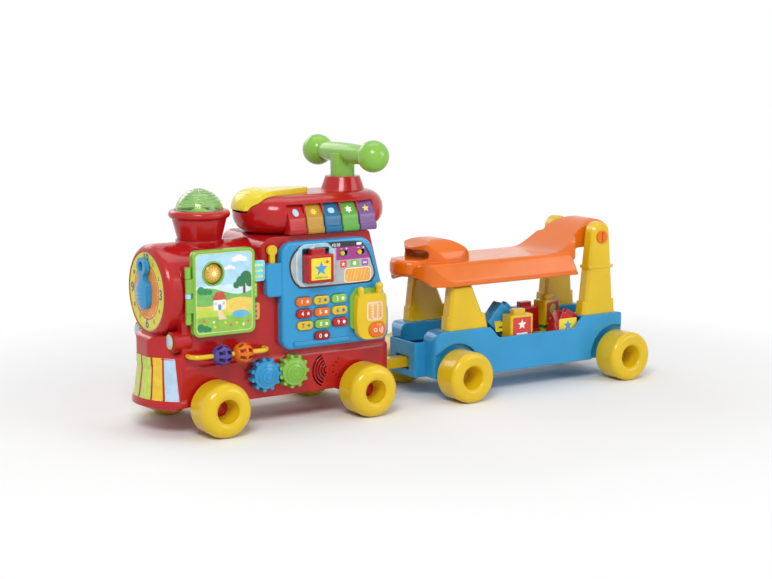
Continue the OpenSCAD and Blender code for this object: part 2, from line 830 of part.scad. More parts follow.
// Battery box: cells lie across the train above a door in the base
battery_x = 122;
battery_y = 12;
function battery_corner(s) =
  [battery_x + s * (cells * (cell_d + 0.6) / 2 + 0.5), battery_y + s * (cell_l / 2 + 1),
   s < 0 ? skirt_bottom + door_t : skirt_bottom + door_t + cell_d + 1];
function door_corner(s) =
  [battery_x + s * (cells * (cell_d + 0.6) / 2 + 5), battery_y + s * (cell_l / 2 + 6),
   s < 0 ? skirt_bottom : skirt_bottom + door_t];

module battery_door() {
  color("dimgray") at_engine() difference() {
    block(door_corner(-1), door_corner(1));
    for (i = [-2:2])
      block([battery_x + 16, battery_y + 4 * i - 1, skirt_bottom - 1],
        [battery_x + 24, battery_y + 4 * i + 1, skirt_bottom + 0.8]);
  }
}

module batteries() {
  color("darkslategray") at_engine() for (i = [0:cells - 1]) {
    x = battery_x + (i - (cells - 1) / 2) * (cell_d + 0.6);
    z = skirt_bottom + door_t + cell_d / 2 + seat_fit;
    rod_y(x, z, cell_d, battery_y - cell_l / 2, battery_y + cell_l / 2 - 1.5);
    rod_y(x, z, 5.4, battery_y + cell_l / 2 - 2, battery_y + cell_l / 2);
  }
}

module speaker() {
  color("dimgray") at_engine() translate([speaker_x, -engine_w / 2 + wall, speaker_z]) rotate([-90, 0, 0])
    rotate_extrude() polygon([[0, 4], [8, 4.5], [speaker_d / 2 - 5, 1], [speaker_d / 2 - 4, 0],
      [speaker_d / 2, 0],
      [speaker_d / 2, 2], [speaker_d / 2 - 3, 2.5], [14, 12], [14, 20], [0, 20]]);
}

module circuit_board() {
  x0 = keypad_x - keypad_dx - 18;
  x1 = keypad_x + keypad_dx + 18;
  z0 = panel_z + 9;
  z1 = keypad_z + board_rise;
  y = panel_y + wall + board_drop;
  color("darkgreen") at_engine() difference() {
    block([x0, y, z0], [x1, y + board_t, z1]);
    for (x = [x0 + 5, x1 - 5], z = [z0 + 5, z1 - 5]) rod_y(x, z, 3, y - 1, y + board_t + 1);
  }
  color("dimgray") at_engine() {
    block([keypad_x - 12, y + board_t, keypad_z - 40], [keypad_x + 12, y + board_t + 3, keypad_z - 16]);
    block([keypad_x + 20, y + board_t, keypad_z - 30], [keypad_x + 32, y + board_t + 5, keypad_z - 18]);
  }
}

// Room behind the panel's face for the keys' skirts and their press
board_drop = keypad_travel + 4;
// Height of the board's top above the keypad's top row
board_rise = 17;

module chimney() {
  color("firebrick") at_engine() translate([chimney_x, 0, chimney_z]) rotate_extrude() difference() {
    union() {
      polygon([[0, 0], [neck_r, 0], [neck_top_r, neck_h], [0, neck_h]]);
      translate([0, neck_h]) square([rim_r - rim_h / 2, rim_h]);
      translate([rim_r - rim_h / 2, neck_h + rim_h / 2]) circle(rim_h / 2);
    }
    polygon([[0, -1], [neck_r - wall - 2, -1], [neck_r - wall - 2, neck_h - 4], [dome_r - 6, neck_h + 4],
         [0, neck_h + 4]]);
    translate([0, neck_h + rim_h - dome_seat]) square([dome_r + seat_fit, dome_seat + 1]);
    square([dome_r - 6, neck_h + rim_h]);
  }
}

module chimney_lens() {
  ring_step = 84 / dome_rings;
  first_ring = 12;
  color("mediumseagreen", 0.6) at_engine() translate([chimney_x, 0, dome_z]) rotate_extrude() difference() {
    union() {
      intersection() {
        circle(dome_r);
        square([dome_r + 1, dome_r + 1]);
      }
      for (i = [0:dome_rings - 1])
        translate((dome_r - 0.15) * [cos(ring_step * i + first_ring), sin(ring_step * i + first_ring)])
          circle(0.75);
    }
    intersection() {
      circle(dome_r - 2.5);
      square([dome_r, dome_r]);
    }
    translate([-dome_r, -dome_r]) square([dome_r, 3 * dome_r]);
  }
}

module clock_dial() {
  back = -boiler_front + dial_seat;
  color("gold") at_engine() difference() {
    rod_x(0, boiler_z, dial_d, back - dial_t, back);
    rod_x(0, boiler_z, hand_shaft_d + 2 * run_fit, back - dial_t - 1, back + 1);
  }
}

module clock_hand() {
  back = -boiler_front + dial_seat - dial_t - slide_fit;
  color("dodgerblue") at_engine() union() {
    rod_x(0, boiler_z, hand_shaft_d, back - 1, -boiler_front + dial_seat + 4);
    intersection() {
      front_extrude(back - grip_t - 6, back) translate([0, boiler_z - 3])
        rounded_rect(grip_w, grip_l, grip_w / 2 - 1);
      translate([back - grip_t + 52, 0, boiler_z - 3]) sphere(52);
    }
    difference() {
      front_extrude(back - grip_t * 0.7, back - 1) {
        translate([0, boiler_z + loop_reach]) circle(loop_r);
        translate([-7, boiler_z + 10]) square([14, loop_reach - 16]);
      }
      front_extrude(back - grip_t, back + 1) translate([0, boiler_z + loop_reach + 1]) circle(loop_hole_r);
    }
  }
}

// Roof: rounded console with a rebate for the horn button and slots for the keys
module roof_form(grow) {
  half = roof_w / 2 + grow;
  h = roof_h + 2 * grow;
  ends = [roof_front + roof_w / 2, roof_front + roof_len - roof_w / 2];
  translate([0, 0, roof_z + roof_h / 2]) {
    front_extrude(ends[0], ends[1]) rounded_rect(2 * half, h, roof_round + grow);
    for (x = ends) translate([x, 0, 0]) rotate_extrude() intersection() {
      rounded_rect(2 * half, h, roof_round + grow);
      translate([0, -h / 2]) square([half, h]);
    }
  }
}

module horn_zone(grow, drop) {
  half = horn_half + grow;
  tip = horn_tip + grow;
  rear = horn_rear + grow;
  translate([0, 0, horn_low - drop - grow]) linear_extrude(80) polygon(rounded(
    [[roof_front - 20, -half + 18], [roof_front + 4, -half + 13], [roof_front + 18, -half],
     [roof_front + 42, -half], [rear, -tip], [rear, tip], [roof_front + 42, half], [roof_front + 18, half],
     [roof_front + 4, half - 13], [roof_front - 20, half - 18]], [0, 8, 10, 30, 6, 6, 30, 10, 8, 0]));
}

module horn_button() {
  color("gold") at_engine() intersection() {
    difference() {
      translate([0, 0, horn_crown]) roof_form(horn_proud);
      roof_form(horn_travel + 0.5 - horn_rebate);
    }
    horn_zone(-slide_fit, 0);
  }
}

function piano_at(i) = piano_x + i * piano_pitch;

module piano_slots() {
  back = -roof_w / 2 + piano_depth + piano_travel + 1;
  z0 = roof_z + piano_lift - slide_fit;
  for (i = [0:4])
    block([piano_at(i) - piano_w / 2 - slide_fit, -roof_w, z0 - 20],
       [piano_at(i) + piano_w / 2 + slide_fit, back, z0 + piano_h + 2 * slide_fit]);
}

module cab_roof() {
  color("firebrick") at_engine() difference() {
    union() {
      difference() {
        roof_form(0);
        difference() {
          horn_zone(0, horn_travel + 0.5);
          roof_form(-horn_rebate);
        }
      }
      difference() {
        translate([collar_x, 0, collar_z - 5]) cylinder(r1 = collar_r, r2 = collar_top_r, h = collar_h + 5);
        for (i = [0:7]) translate([collar_x, 0, collar_z + collar_h / 2 + 4]) rotate([0, 0, 45 * i + 22.5])
          translate([collar_r + 11, 0, 0]) sphere(17);
      }
    }
    translate([collar_x, 0, collar_z + collar_h - post_socket]) linear_extrude(post_socket + 1)
      rounded_rect(post_l + 2 * seat_fit, post_w + 2 * seat_fit, 5);
    piano_slots();
    block([piano_x - 20, -roof_w / 2 + piano_depth + piano_travel + 5, roof_z - 1],
       [collar_x - 20, roof_w / 2 - 20, roof_z + roof_h - horn_rebate - 8]);
  }
}

module piano_key(i) {
  side = -roof_w / 2;
  z0 = roof_z + piano_lift;
  color(PIANO_COLORS[i]) at_engine() front_extrude(piano_at(i) - piano_w / 2, piano_at(i) + piano_w / 2)
    polygon(rounded([[side + piano_depth, z0], [side - piano_lip + 2, z0], [side - piano_lip, z0 + 3],
      [side - piano_lip, z0 + 9], [side - piano_lip + 3, z0 + 11], [side - piano_lip + 4.5, z0 + 24],
      [side + piano_depth - 4, z0 + piano_h], [side + piano_depth, z0 + piano_h]],
      [0, 1.2, 1.2, 1.2, 1.5, 12, 1.5, 0]));
}

module handle() {
  span = ball_span / 2;
  rise = bar_r - bar_end_r;
  arc_r = (span * span + rise * rise) / (2 * rise);
  foot = collar_z + collar_h - post_socket;
  color("yellowgreen") at_engine() translate([collar_x, 0, 0]) {
    translate([bar_back, 0, bar_z]) rotate([-90, 0, 0]) {
      rotate_extrude() intersection() {
        translate([bar_r - arc_r, 0]) circle(arc_r, $fn = 360);
        translate([0, -span]) square([bar_r + 1, 2 * span]);
      }
      for (s = [-1, 1]) translate([0, 0, s * span]) sphere(ball_r);
    }
    translate([0, 0, foot]) linear_extrude(bar_z - foot) rounded_rect(post_l, post_w, 5);
  }
}

// Phone panel: hollow blue moulding on the cab's near wall
module panel_outline(inset) {
  polygon(rounded([[panel_x + inset, panel_z + inset], [panel_x + panel_l - inset, panel_z + inset],
    [panel_x + panel_l - inset, panel_z + 48], [panel_x + panel_l - 34 - inset, panel_z + panel_h - inset],
    [panel_x + inset, panel_z + panel_h - inset]], [16, 12, 30, 26, 22]));
}

module keypad_hole(i, grow) {
  p = keypad_place(i);
  translate(p) rounded_rect(keypad_w + 2 * grow, keypad_h + 2 * grow, keypad_h / 2 - 1 + grow);
}

function keypad_place(i) =
  i == 0 ? [keypad_x + 1, keypad_z - 3 * keypad_dz]
      : [keypad_x + ((i - 1) % 3 - 1) * keypad_dx + floor((i - 1) / 3) * 1, keypad_z - floor((i - 1)
        / 3) * keypad_dz];

module reader_pocket(grow) {
  translate([reader_x + block_w / 2, reader_z + (block_h + stud_h) / 2])
    rounded_rect(block_w + 2 * grow, block_h + stud_h + 2 * grow, 3);
}

module phone_panel() {
  holster_w = panel_x - holster_x + 10;
  color("dodgerblue") at_engine() difference() {
    union() {
      hull() {
        side_extrude(wall_y - panel_t + panel_edge, wall_y) panel_outline(0);
        side_extrude(panel_y + panel_edge * 0.3, wall_y) panel_outline(panel_edge * 0.3);
        side_extrude(panel_y, wall_y) panel_outline(panel_edge);
      }
      side_extrude(wall_y - panel_t + 3, wall_y)
        translate([holster_x + holster_w / 2, holster_z + holster_h / 2])
          rounded_rect(holster_w, holster_h, 6);
      side_extrude(panel_y - 3, panel_y + 1) polygon(rounded(
        [[keypad_x - 48, panel_z + 5], [keypad_x + 50, panel_z + 5], [keypad_x + 50, panel_z + 12],
         [keypad_x - 48, panel_z + 12]], [3, 3, 3, 3]));
    }
    difference() {
      side_extrude(panel_y + wall, wall_y + 1) panel_outline(wall + 1.5);
      // Wall round the block reader and bosses for the circuit board
      side_extrude(panel_y, wall_y + 2) reader_pocket(slide_fit + 2);
      for (x = [-1, 1], z = [panel_z + 14, keypad_z + board_rise - 5])
        rod_y(keypad_x + x * (keypad_dx + 13), z, 7, panel_y, panel_y + wall + board_drop);
    }
    for (i = [0:9]) side_extrude(panel_y - 5, panel_y + wall + 1) keypad_hole(i, slide_fit);
    side_extrude(panel_y - 1, panel_y + reader_depth) reader_pocket(slide_fit);
    side_extrude(panel_y + reader_depth + 2, wall_y + 3) reader_pocket(-2);
    for (i = [0, 1]) side_extrude(panel_y - 1, panel_y + wall + 1)
      translate([switch_x + i * switch_dx, switch_z])
        rounded_rect(switch_travel + 7 + 2 * slide_fit, 7 + 2 * slide_fit, 3);
    // Slot of the holster
    block([holster_x + 5, wall_y - panel_t + 6.5, holster_z + 6],
      [holster_x + 19, wall_y - 2.5, holster_z + holster_h + 1]);
  }
}

module keypad_key(i) {
  p = keypad_place(i);
  front = panel_y - keypad_proud;
  color(KEY_COLORS[i]) at_engine() {
    intersection() {
      side_extrude(front - 1, panel_y + wall + 0.5) keypad_hole(i, 0);
      translate([p.x, front + 34, p.y]) rotate([0, 90, 0])
        cylinder(r = 34, h = keypad_w + 2, center = true, $fn = 128);
    }
    side_extrude(panel_y + wall + slide_fit, panel_y + wall + 1.5) translate(p)
      rounded_rect(keypad_w + 2, keypad_h + 2, keypad_h / 2);
  }
}

// Block: rounded cube with a stud above and a socket below; front is -Y, foot at z = 0
module letter_block() {
  difference() {
    union() {
      translate([block_w / 2, block_t / 2, block_h / 2]) soft_box([block_w, block_t, block_h],
        block_round, block_round, block_round);
      translate([block_w / 2, block_t / 2, block_h - 2]) linear_extrude(stud_h + 2)
        rounded_rect(stud_w, stud_t, 3);
    }
    translate([block_w / 2, block_t / 2, -1]) linear_extrude(stud_h + 2)
      rounded_rect(stud_w + 0.6, stud_t + 0.6, 3);
  }
}

module reader_block() {
  color("crimson") at_engine()
    translate([reader_x, panel_y + reader_depth - seat_fit - block_t, reader_z]) letter_block();
}

module slide_switch(i) {
  x = switch_x + i * switch_dx - switch_travel / 2;
  color("gold") at_engine() {
    rod_y(x, switch_z, 7, panel_y - 3.5, panel_y + wall + 1);
    block([x - 6, panel_y + wall + slide_fit, switch_z - 6], [x + 6, panel_y + wall + 2.5, switch_z + 6]);
  }
}

module selector_lever() {
  x = holster_x + 12;
  y0 = wall_y - panel_t + 6.5 + slide_fit;
  y1 = wall_y - 2.5 - slide_fit;
  top = holster_z + holster_h;
  color("gold") at_engine() {
    block([holster_x + 5 + slide_fit, y0, holster_z + 6 + lever_travel + 1],
      [holster_x + 19 - slide_fit, y1, top - 6]);
    block([x - 4, y0, top - 7], [x + 4, y1, top + 14]);
    rod_y(x, top + 19, 16, y0, y1);
  }
}

module handset_cradle() {
  color("yellowgreen") at_engine() side_extrude(cradle_y, panel_y) polygon(rounded(
    [[handset_x - 5, handset_z + 16], [handset_x + handset_w - 2, handset_z + 10],
     [handset_x + handset_w - 2, handset_z + handset_h - 6],
       [handset_x + handset_w - 12, handset_z + handset_h + 6],
     [handset_x + 6, handset_z + handset_h + 8], [handset_x - 5, handset_z + handset_h - 4]],
       [6, 8, 8, 5, 5, 8]));
}

module handset() {
  front = handset_y - handset_t;
  mid_x = handset_x + handset_w / 2;
  top = handset_z + handset_h;
  color("gold") at_engine() difference() {
    union() {
      intersection() {
        side_extrude(front - 1, handset_y) polygon(rounded(
          [[handset_x + 3, handset_z], [handset_x + handset_w - 3, handset_z],
            [handset_x + handset_w, handset_z + 30],
           [handset_x + handset_w - 2, top], [handset_x + 2, top], [handset_x, handset_z + 30]],
          [14, 14, 24, 9, 9, 24]));
        translate([mid_x, front + 60, 0]) cylinder(r = 60, h = 400, $fn = 128);
      }
      for (x = [handset_x + 9, handset_x + handset_w - 13]) {
        translate([x, handset_y - 7, top - 8]) cylinder(d = 10, h = 14);
        translate([x, handset_y - 7, top + 6]) sphere(5);
      }
      translate([handset_x + handset_w - 13, handset_y - 7, top + 10]) sphere(6);
    }
    side_extrude(front - 2, front + 6 + talk_travel) handset_talk_shape(slide_fit);
  }
}

module handset_talk_shape(grow) {
  translate([handset_x + handset_w * 0.6, handset_z + 14])
    rounded_rect(talk_w + 2 * grow, talk_h + 2 * grow, talk_h / 2 - 1 + grow);
}

module handset_button() {
  front = handset_y - handset_t;
  at = [handset_x + handset_w * 0.6, handset_z + 14];
  color("darkorange") at_engine() intersection() {
    side_extrude(front - 6, front + 5.5) handset_talk_shape(0);
    translate([at.x, front - 4 + 32, at.y]) sphere(32, $fn = 128);
  }
}

// Book: back board on the boiler's flank, a page and a cover on one hinge
module board_shape(inset) {
  translate([-book_x + book_w / 2, book_z + book_h / 2])
    rounded_rect(book_w - 2 * inset, book_h - 2 * inset, 10 - inset);
}

module board_tab(z0, z1, reach) {
  edge = -book_x + book_w;
  polygon(rounded([[edge - 8, z0], [edge + reach, z0], [edge + reach, z1], [edge - 8, z1]], [0, 4, 4, 0]));
}

// Knuckles along the hinge: z0 and z1 measured up from the hinge's foot
hinge_z = book_z + 20;
hinge_l = 83;
knuckle_h = 16;
module hinge_arm(z0, z1, y0, y1) {
  translate([hinge_x, hinge_y, hinge_z + z0]) cylinder(r = knuckle_r, h = z1 - z0);
  block([hinge_x, y0, hinge_z + z0], [-book_x + 6, y1, hinge_z + z1]);
}

module knuckle(z0, z1, y0, y1) {
  difference() {
    hinge_arm(z0, z1, y0, y1);
    translate([hinge_x, hinge_y, hinge_z + z0 - 1])
      cylinder(d = hinge_pin_d + 2 * run_fit, h = z1 - z0 + 2);
  }
}

// Fixed end of the hinge: carries the pin, stays clear of the turning boards
module fixed_knuckle(z0) {
  hinge_arm(z0, z0 + knuckle_h, wall_y - back_t, wall_y - 0.6);
  block([hinge_x - 2, hinge_y, hinge_z + z0], [-book_x - 0.7, wall_y - 0.6, hinge_z + z0 + knuckle_h]);
}

module book_back() {
  color("yellowgreen") at_engine() {
    difference() {
      union() {
        side_extrude(wall_y - back_t, wall_y) {
          board_shape(0);
          board_tab(book_z + 49, book_z + 73, 8);
          board_tab(book_z + 16, book_z + 42, 12);
        }
        fixed_knuckle(0);
        fixed_knuckle(hinge_l - knuckle_h);
      }
      rod_y(lens_x, lens_z, lens_d - 6, wall_y - back_t - 1, wall_y + 1);
    }
    translate([hinge_x, hinge_y, hinge_z]) cylinder(d = hinge_pin_d, h = hinge_l);
  }
}

module book_page() {
  color("skyblue") at_engine() {
    difference() {
      side_extrude(page_y - page_t, page_y) {
        board_shape(1.5);
        board_tab(book_z + 74, book_z + 105, 20);
      }
      rod_y(lens_x, lens_z, lens_d + 3, page_y - page_t - 1, page_y + 1);
    }
    knuckle(38, 45, page_y - page_t, page_y);
  }
}

module book_cover() {
  color("yellowgreen") at_engine() {
    difference() {
      side_extrude(book_face_y, cover_y) board_shape(0);
      side_extrude(book_face_y - 1, book_face_y + 1) board_shape(4);
      rod_y(lens_x, lens_z, lens_d + 3, book_face_y - 1, cover_y + 1);
    }
    difference() {
      rod_y(lens_x, lens_z, lens_d + 7, book_face_y, book_face_y + 2);
      rod_y(lens_x, lens_z, lens_d + 3, book_face_y - 1, book_face_y + 3);
    }
    knuckle(16.4, 37.6, book_face_y + 1, cover_y - 0.5);
    knuckle(45.4, 66.6, book_face_y + 1, cover_y - 0.5);
  }
}

module book_lens() {
  seat_y = wall_y - back_t;
  color("goldenrod") at_engine() intersection() {
    rod_y(lens_x, lens_z, lens_d, book_face_y - 3, seat_y);
    translate([lens_x, book_face_y - 2 + 22, lens_z]) sphere(22, $fn = 96);
  }
}

// Bead bar: one bent rod with two cage beads
module bead_bar() {
  y = wall_y - bead_standoff;
  x0 = -bead_bar_x + bead_bend;
  x1 = bead_bar_l - bead_bar_x - bead_bend;
  color("gold") at_engine() {
    rod_x(y, bead_bar_z, bead_bar_d, x0, x1);
    for (s = [0, 1]) {
      translate([s == 0 ? x0 : x1, y + bead_bend, bead_bar_z]) rotate([0, 0, s == 0 ? 180 : 270])
        rotate_extrude(angle = 90) translate([bead_bend, 0]) circle(d = bead_bar_d);
      rod_y(s == 0 ? x0 - bead_bend : x1 + bead_bend, bead_bar_z, bead_bar_d, y + bead_bend, wall_y + wall);
    }
  }
}

module cage_bead(x) {
  turn = 360 / bead_ribs;
  window = [bead_r, bead_r * 0.38, bead_r * 0.55];
  at_engine() translate([x, wall_y - bead_standoff, bead_bar_z]) rotate([0, 90, 0]) difference() {
    union() {
      difference() {
        sphere(bead_r);
        sphere(bead_r - 3.5);
        for (i = [0:bead_ribs - 1], z = [1.6, -1.6 - window.z]) rotate([0, 0, turn * (i + 0.5)])
          translate([5, -window.y / 2, z]) cube(window);
      }
      cylinder(d = bead_bar_d + 5, h = 2 * bead_r - 4, center = true);
    }
    cylinder(d = bead_bar_d + 2 * slide_fit, h = 2 * bead_r + 2, center = true);
  }
}

// Gears: round knob teeth that mesh side by side
mesh_turn = 180 + 180 / gear_teeth;
dome_curve = 34;

module knob_gear(x, phase) {
  tooth_at = gear_dx / 2 - tooth_sink;
  root_r = tooth_at - 1.9;
  clip_at = wall + 2 * slide_fit;
  pitch = 360 / gear_teeth;
  at_engine() translate([x, -engine_w / 2 - slide_fit, gear_z]) rotate([90, 0, 0])
    rotate([0, 0, phase - pitch / 2]) {
      cylinder(r = root_r, h = gear_t);
      for (i = [0:gear_teeth - 1]) rotate([0, 0, pitch * (i + 0.5)])
        translate([tooth_at, 0, 0]) cylinder(r = tooth_r, h = gear_t - 1.5);
      intersection() {
        translate([0, 0, gear_t - 1]) cylinder(r = root_r - 2.5, h = gear_dome + 1);
        translate([0, 0, gear_t + gear_dome - dome_curve]) rotate([90, 0, 0]) sphere(dome_curve, $fn = 96);
      }
      // Shaft through the skirt's wall, with a collar behind it
      translate([0, 0, -clip_at - 2]) cylinder(d = gear_post_d, h = clip_at + 3);
      translate([0, 0, -clip_at - 2]) cylinder(d = gear_post_d + 4, h = 2);
    }
}

// Drawbar: flat link with an eye at each end
module drawbar() {
  z = base_top + seat_fit;
  color("gold") at_engine() translate([hitch_at, 0, z]) difference() {
    union() {
      for (x = [0, drawbar_l]) translate([x, 0, 0]) cylinder(d = drawbar_w, h = drawbar_h);
      translate([0, -drawbar_w / 2 + 2, 0]) cube([drawbar_l, drawbar_w - 4, drawbar_h]);
    }
    for (x = [0, drawbar_l]) translate([x, 0, -1])
      cylinder(d = drawbar_pin_d + 2 * run_fit, h = drawbar_h + 2);
  }
}

// Wagon: blue tray on wheels with high decks for the pillars and low sides between
module wagon_outline() {
  rear = wagon_wheelbase + wagon_rear;
  polygon(rounded([[-fender_front, wagon_bottom], [rear, wagon_bottom], [rear, deck_z],
    [tray_front + tray_len + tray_slope, deck_z], [tray_front + tray_len, tray_z], [tray_front, tray_z],
    [tray_front - tray_slope, deck_z], [-fender_front, deck_z]], [4, 4, 12, 8, 6, 6, 8, 16]));
}

module wagon_body() {
  half = wagon_w / 2;
  floor_z = wagon_bottom + wall;
  well_y = wheel_in_y - 7;
  rear = wagon_wheelbase + wagon_rear;
  color("deepskyblue") at_wagon() difference() {
    union() {
      difference() {
        union() {
          intersection() {
            side_extrude(-half, half) wagon_outline();
            linear_extrude(deck_z) polygon(rounded([[-fender_front, -half], [rear, -half], [rear, half],
              [-fender_front, half]], [14, 10, 10, 14]));
          }
          block([-box_front, -box_w / 2, wagon_bottom], [-fender_front + 8, box_w / 2, tray_z]);
        }
        // Open tray, wide between the wheels and narrow beside them
        block([tray_front - 34, -half + wall, floor_z],
           [tray_front + tray_len + 34, half - wall, deck_z - wall]);
        block([tray_front - tray_slope, -half + wall, floor_z],
           [tray_front + tray_len + tray_slope, half - wall, deck_z + 1]);
        block([-fender_front + wall, -well_y + wall, floor_z], [rear - wall, well_y - wall, tray_z - 12]);
        block([-fender_front + wall, -pillar_in_y + 8, floor_z],
          [rear - wall, pillar_in_y - 8, deck_z + 1]);
        block([-box_front + wall, -box_w / 2 + wall, floor_z],
          [-fender_front + wall + 1, box_w / 2 - wall, tray_z + 1]);
        // Front opening over the coupling box
        block([-fender_front - 1, -box_w / 2 + wall, tray_z],
          [-fender_front + wall + 1, box_w / 2 - wall, deck_z + 1]);
        // Wheel arches
        for (x = [0, wagon_wheelbase], s = [-1, 1])
          rod_y(x, axle_z, 2 * arch_r, s > 0 ? well_y : -half - 1, s > 0 ? half + 1 : -well_y);
      }
      // Decks' undersides over the arches, axle tunnels and bosses
      for (x = [0, wagon_wheelbase]) {
        block([x - 12, -well_y, wagon_bottom - 1], [x + 12, well_y, axle_z + axle_d / 2 + 4]);
        rod_y(x, axle_z, axle_boss_d, -wheel_in_y + seat_fit * 2, wheel_in_y - seat_fit * 2);
      }
      translate([tow_at, 0, floor_z - 1]) cylinder(d = drawbar_w, h = base_top - floor_z + 1);
      translate([tow_at, 0, floor_z - 1])
        cylinder(d = drawbar_pin_d, h = base_top + drawbar_h + 2 - floor_z);
    }
    for (x = [0, wagon_wheelbase])
      rod_y(x, axle_z, axle_d + 2 * run_fit, -wheel_in_y, wheel_in_y);
    // Mouth for the drawbar
    block([-box_front - 1, -drawbar_w / 2 - 9, base_top - 2],
      [-box_front + wall + 1, drawbar_w / 2 + 9, base_top + drawbar_h + 3]);
  }
}

// A pillar's side view on both sides of the wagon, bevelled all round above the deck
module pillar_pair() {
  half = pillar_t / 2;
  intersection() {
    for (s = [-1, 1]) translate([0, s * (pillar_in_y + half), 0]) hull() {
      side_extrude(-half + pillar_bevel, half - pillar_bevel) children();
      side_extrude(-half, half) offset(delta = -pillar_bevel) children();
    }
    block([-wagon_w, -wagon_w, deck_z], [2 * wagon_wheelbase, wagon_w, 2 * seat_hinge_z]);
  }
}

module front_pillars() {
  z1 = deck_z + plinth_h;
  x0 = -front_plinth_x;
  x1 = x0 + front_plinth_l;
  top = x0 + 10;
  color("gold") at_wagon() {
    pillar_pair() polygon([[x0, deck_z - 10], [x1 + 1, deck_z - 10], [x1 - 6, z1], [x0 + 2, z1]]);
    pillar_pair() polygon([[x0 + 3, z1 - 10], [x1 - 8, z1 - 10], [top + front_top_l, front_pillar_z],
      [top, front_pillar_z]]);
  }
}

module rear_pillars() {
  z1 = deck_z + plinth_h;
  x = seat_hinge_at;
  x0 = x - rear_plinth_x;
  foot = wagon_wheelbase + rear_plinth_end;
  top = seat_hinge_z + 6;
  ring = seat_hinge_z - 53;
  color("gold") at_wagon() difference() {
    union() {
      pillar_pair() polygon([[x0, deck_z - 10], [foot, deck_z - 10], [foot - 2, z1], [x0 + 3, z1]]);
      pillar_pair() {
        polygon([[x0 + 6, z1 - 10], [foot - 5, z1 - 10], [x + pillar_top_r, top], [x - pillar_top_r, top]]);
        translate([x, top]) circle(pillar_top_r);
      }
      for (s = [0, 1]) mirror([0, s, 0]) side_extrude(pillar_in_y + 0.3, pillar_out_y + 0.8)
        polygon([[x0 + 11.5, ring], [x + 25.3, ring], [x + 25, ring + 5], [x0 + 12, ring + 5]]);
    }
    rod_y(x, seat_hinge_z, seat_pin_d + 2 * seat_fit, -wagon_w, wagon_w);
  }
}

module seat_pins() {
  color("darkorange") at_wagon() difference() {
    for (s = [-1, 1]) {
      a = s * (pillar_out_y + 3);
      b = s * pillar_out_y;
      c = s * (neck_w / 2 - 14);
      rod_y(seat_hinge_at, seat_hinge_z, seat_pin_head_d, min(a, b), max(a, b));
      rod_y(seat_hinge_at, seat_hinge_z, seat_pin_d, min(a, c), max(a, c));
    }
    for (s = [-1, 1])
      block([seat_hinge_at - 1.6, s * (pillar_out_y + 2.4) - 1.4, seat_hinge_z - 8],
         [seat_hinge_at + 1.6, s * (pillar_out_y + 2.4) + 1.4, seat_hinge_z + 8]);
  }
}

// Seat: hollow moulding with a handle lip, a front hump, a saddle and a backrest
rim_rear = seat_hinge_at - rim_clear;
hump_top = seat_top + hump_h;
hump_mid = hump_l / 2 - lip_front + 31;

module seat_section(inset) {
  w = seat_w / 2 - 1.5 - inset;
  top = seat_top_w / 2 - inset;
  polygon(rounded([[-w, seat_z - 1], [w, seat_z - 1], [w, seat_z + 8], [top, seat_top - inset],
    [-top, seat_top - inset],
           [-w, seat_z + 8]], [0, 0, 6, 9 - inset, 9 - inset, 6]));
}

module seat_plan(inset) {
  half = seat_w / 2 - inset;
  r = rim_round - inset;
  translate([-rim_front + rim_round, -half]) square([rim_rear + rim_front - rim_round - inset, 2 * half]);
  translate([-rim_front + inset, r - half]) square([rim_round, 2 * (half - r)]);
  for (s = [-1, 1]) translate([-rim_front + rim_round, s * (half - r)]) circle(r);
}

module seat_body(inset) {
  intersection() {
    front_extrude(-rim_front, rim_rear) seat_section(inset);
    translate([0, 0, seat_z - 1]) linear_extrude(seat_rise + 10) seat_plan(inset + 1.5);
    side_extrude(-seat_w, seat_w) polygon(rounded([[-rim_front + inset, seat_z - 1],
      [rim_rear - inset, seat_z - 1],
      [rim_rear - 5 - inset, seat_top - inset], [-rim_front + 8 + inset, seat_top - inset]],
        [0, 0, 0, 14]));
  }
}

module hump(inset) {
  half = hump_w / 2 - inset;
  front = hump_mid - hump_l / 2 + inset;
  rear = hump_mid + hump_l / 2 - inset;
  top = hump_top - inset;
  intersection() {
    side_extrude(-half, half) polygon(rounded([[front, seat_z + 8], [rear, seat_z + 8],
      [rear, seat_top - 2], [hump_mid + 12, top], [hump_mid - 26, top], [front, top - 12]],
      [0, 0, 14, 58, 55, 4]));
    front_extrude(front, rear) shoulder_section(2 * half, seat_z, top, 34 - inset);
    translate([0, 0, seat_z]) linear_extrude(seat_rise + hump_h)
      translate([hump_mid, 0]) rounded_rect(rear - front, 2 * half, half - 1);
  }
}

// Height of the saddle's upper face: flat, then a smooth rise to the crest
slope_run = slope_l + 10;
function saddle_z(x) =
  let (t = min(1, max(0, (x - seat_hinge_at + slope_l) / slope_run)))
  seat_top + crest_h * t * t * (3 - 2 * t);

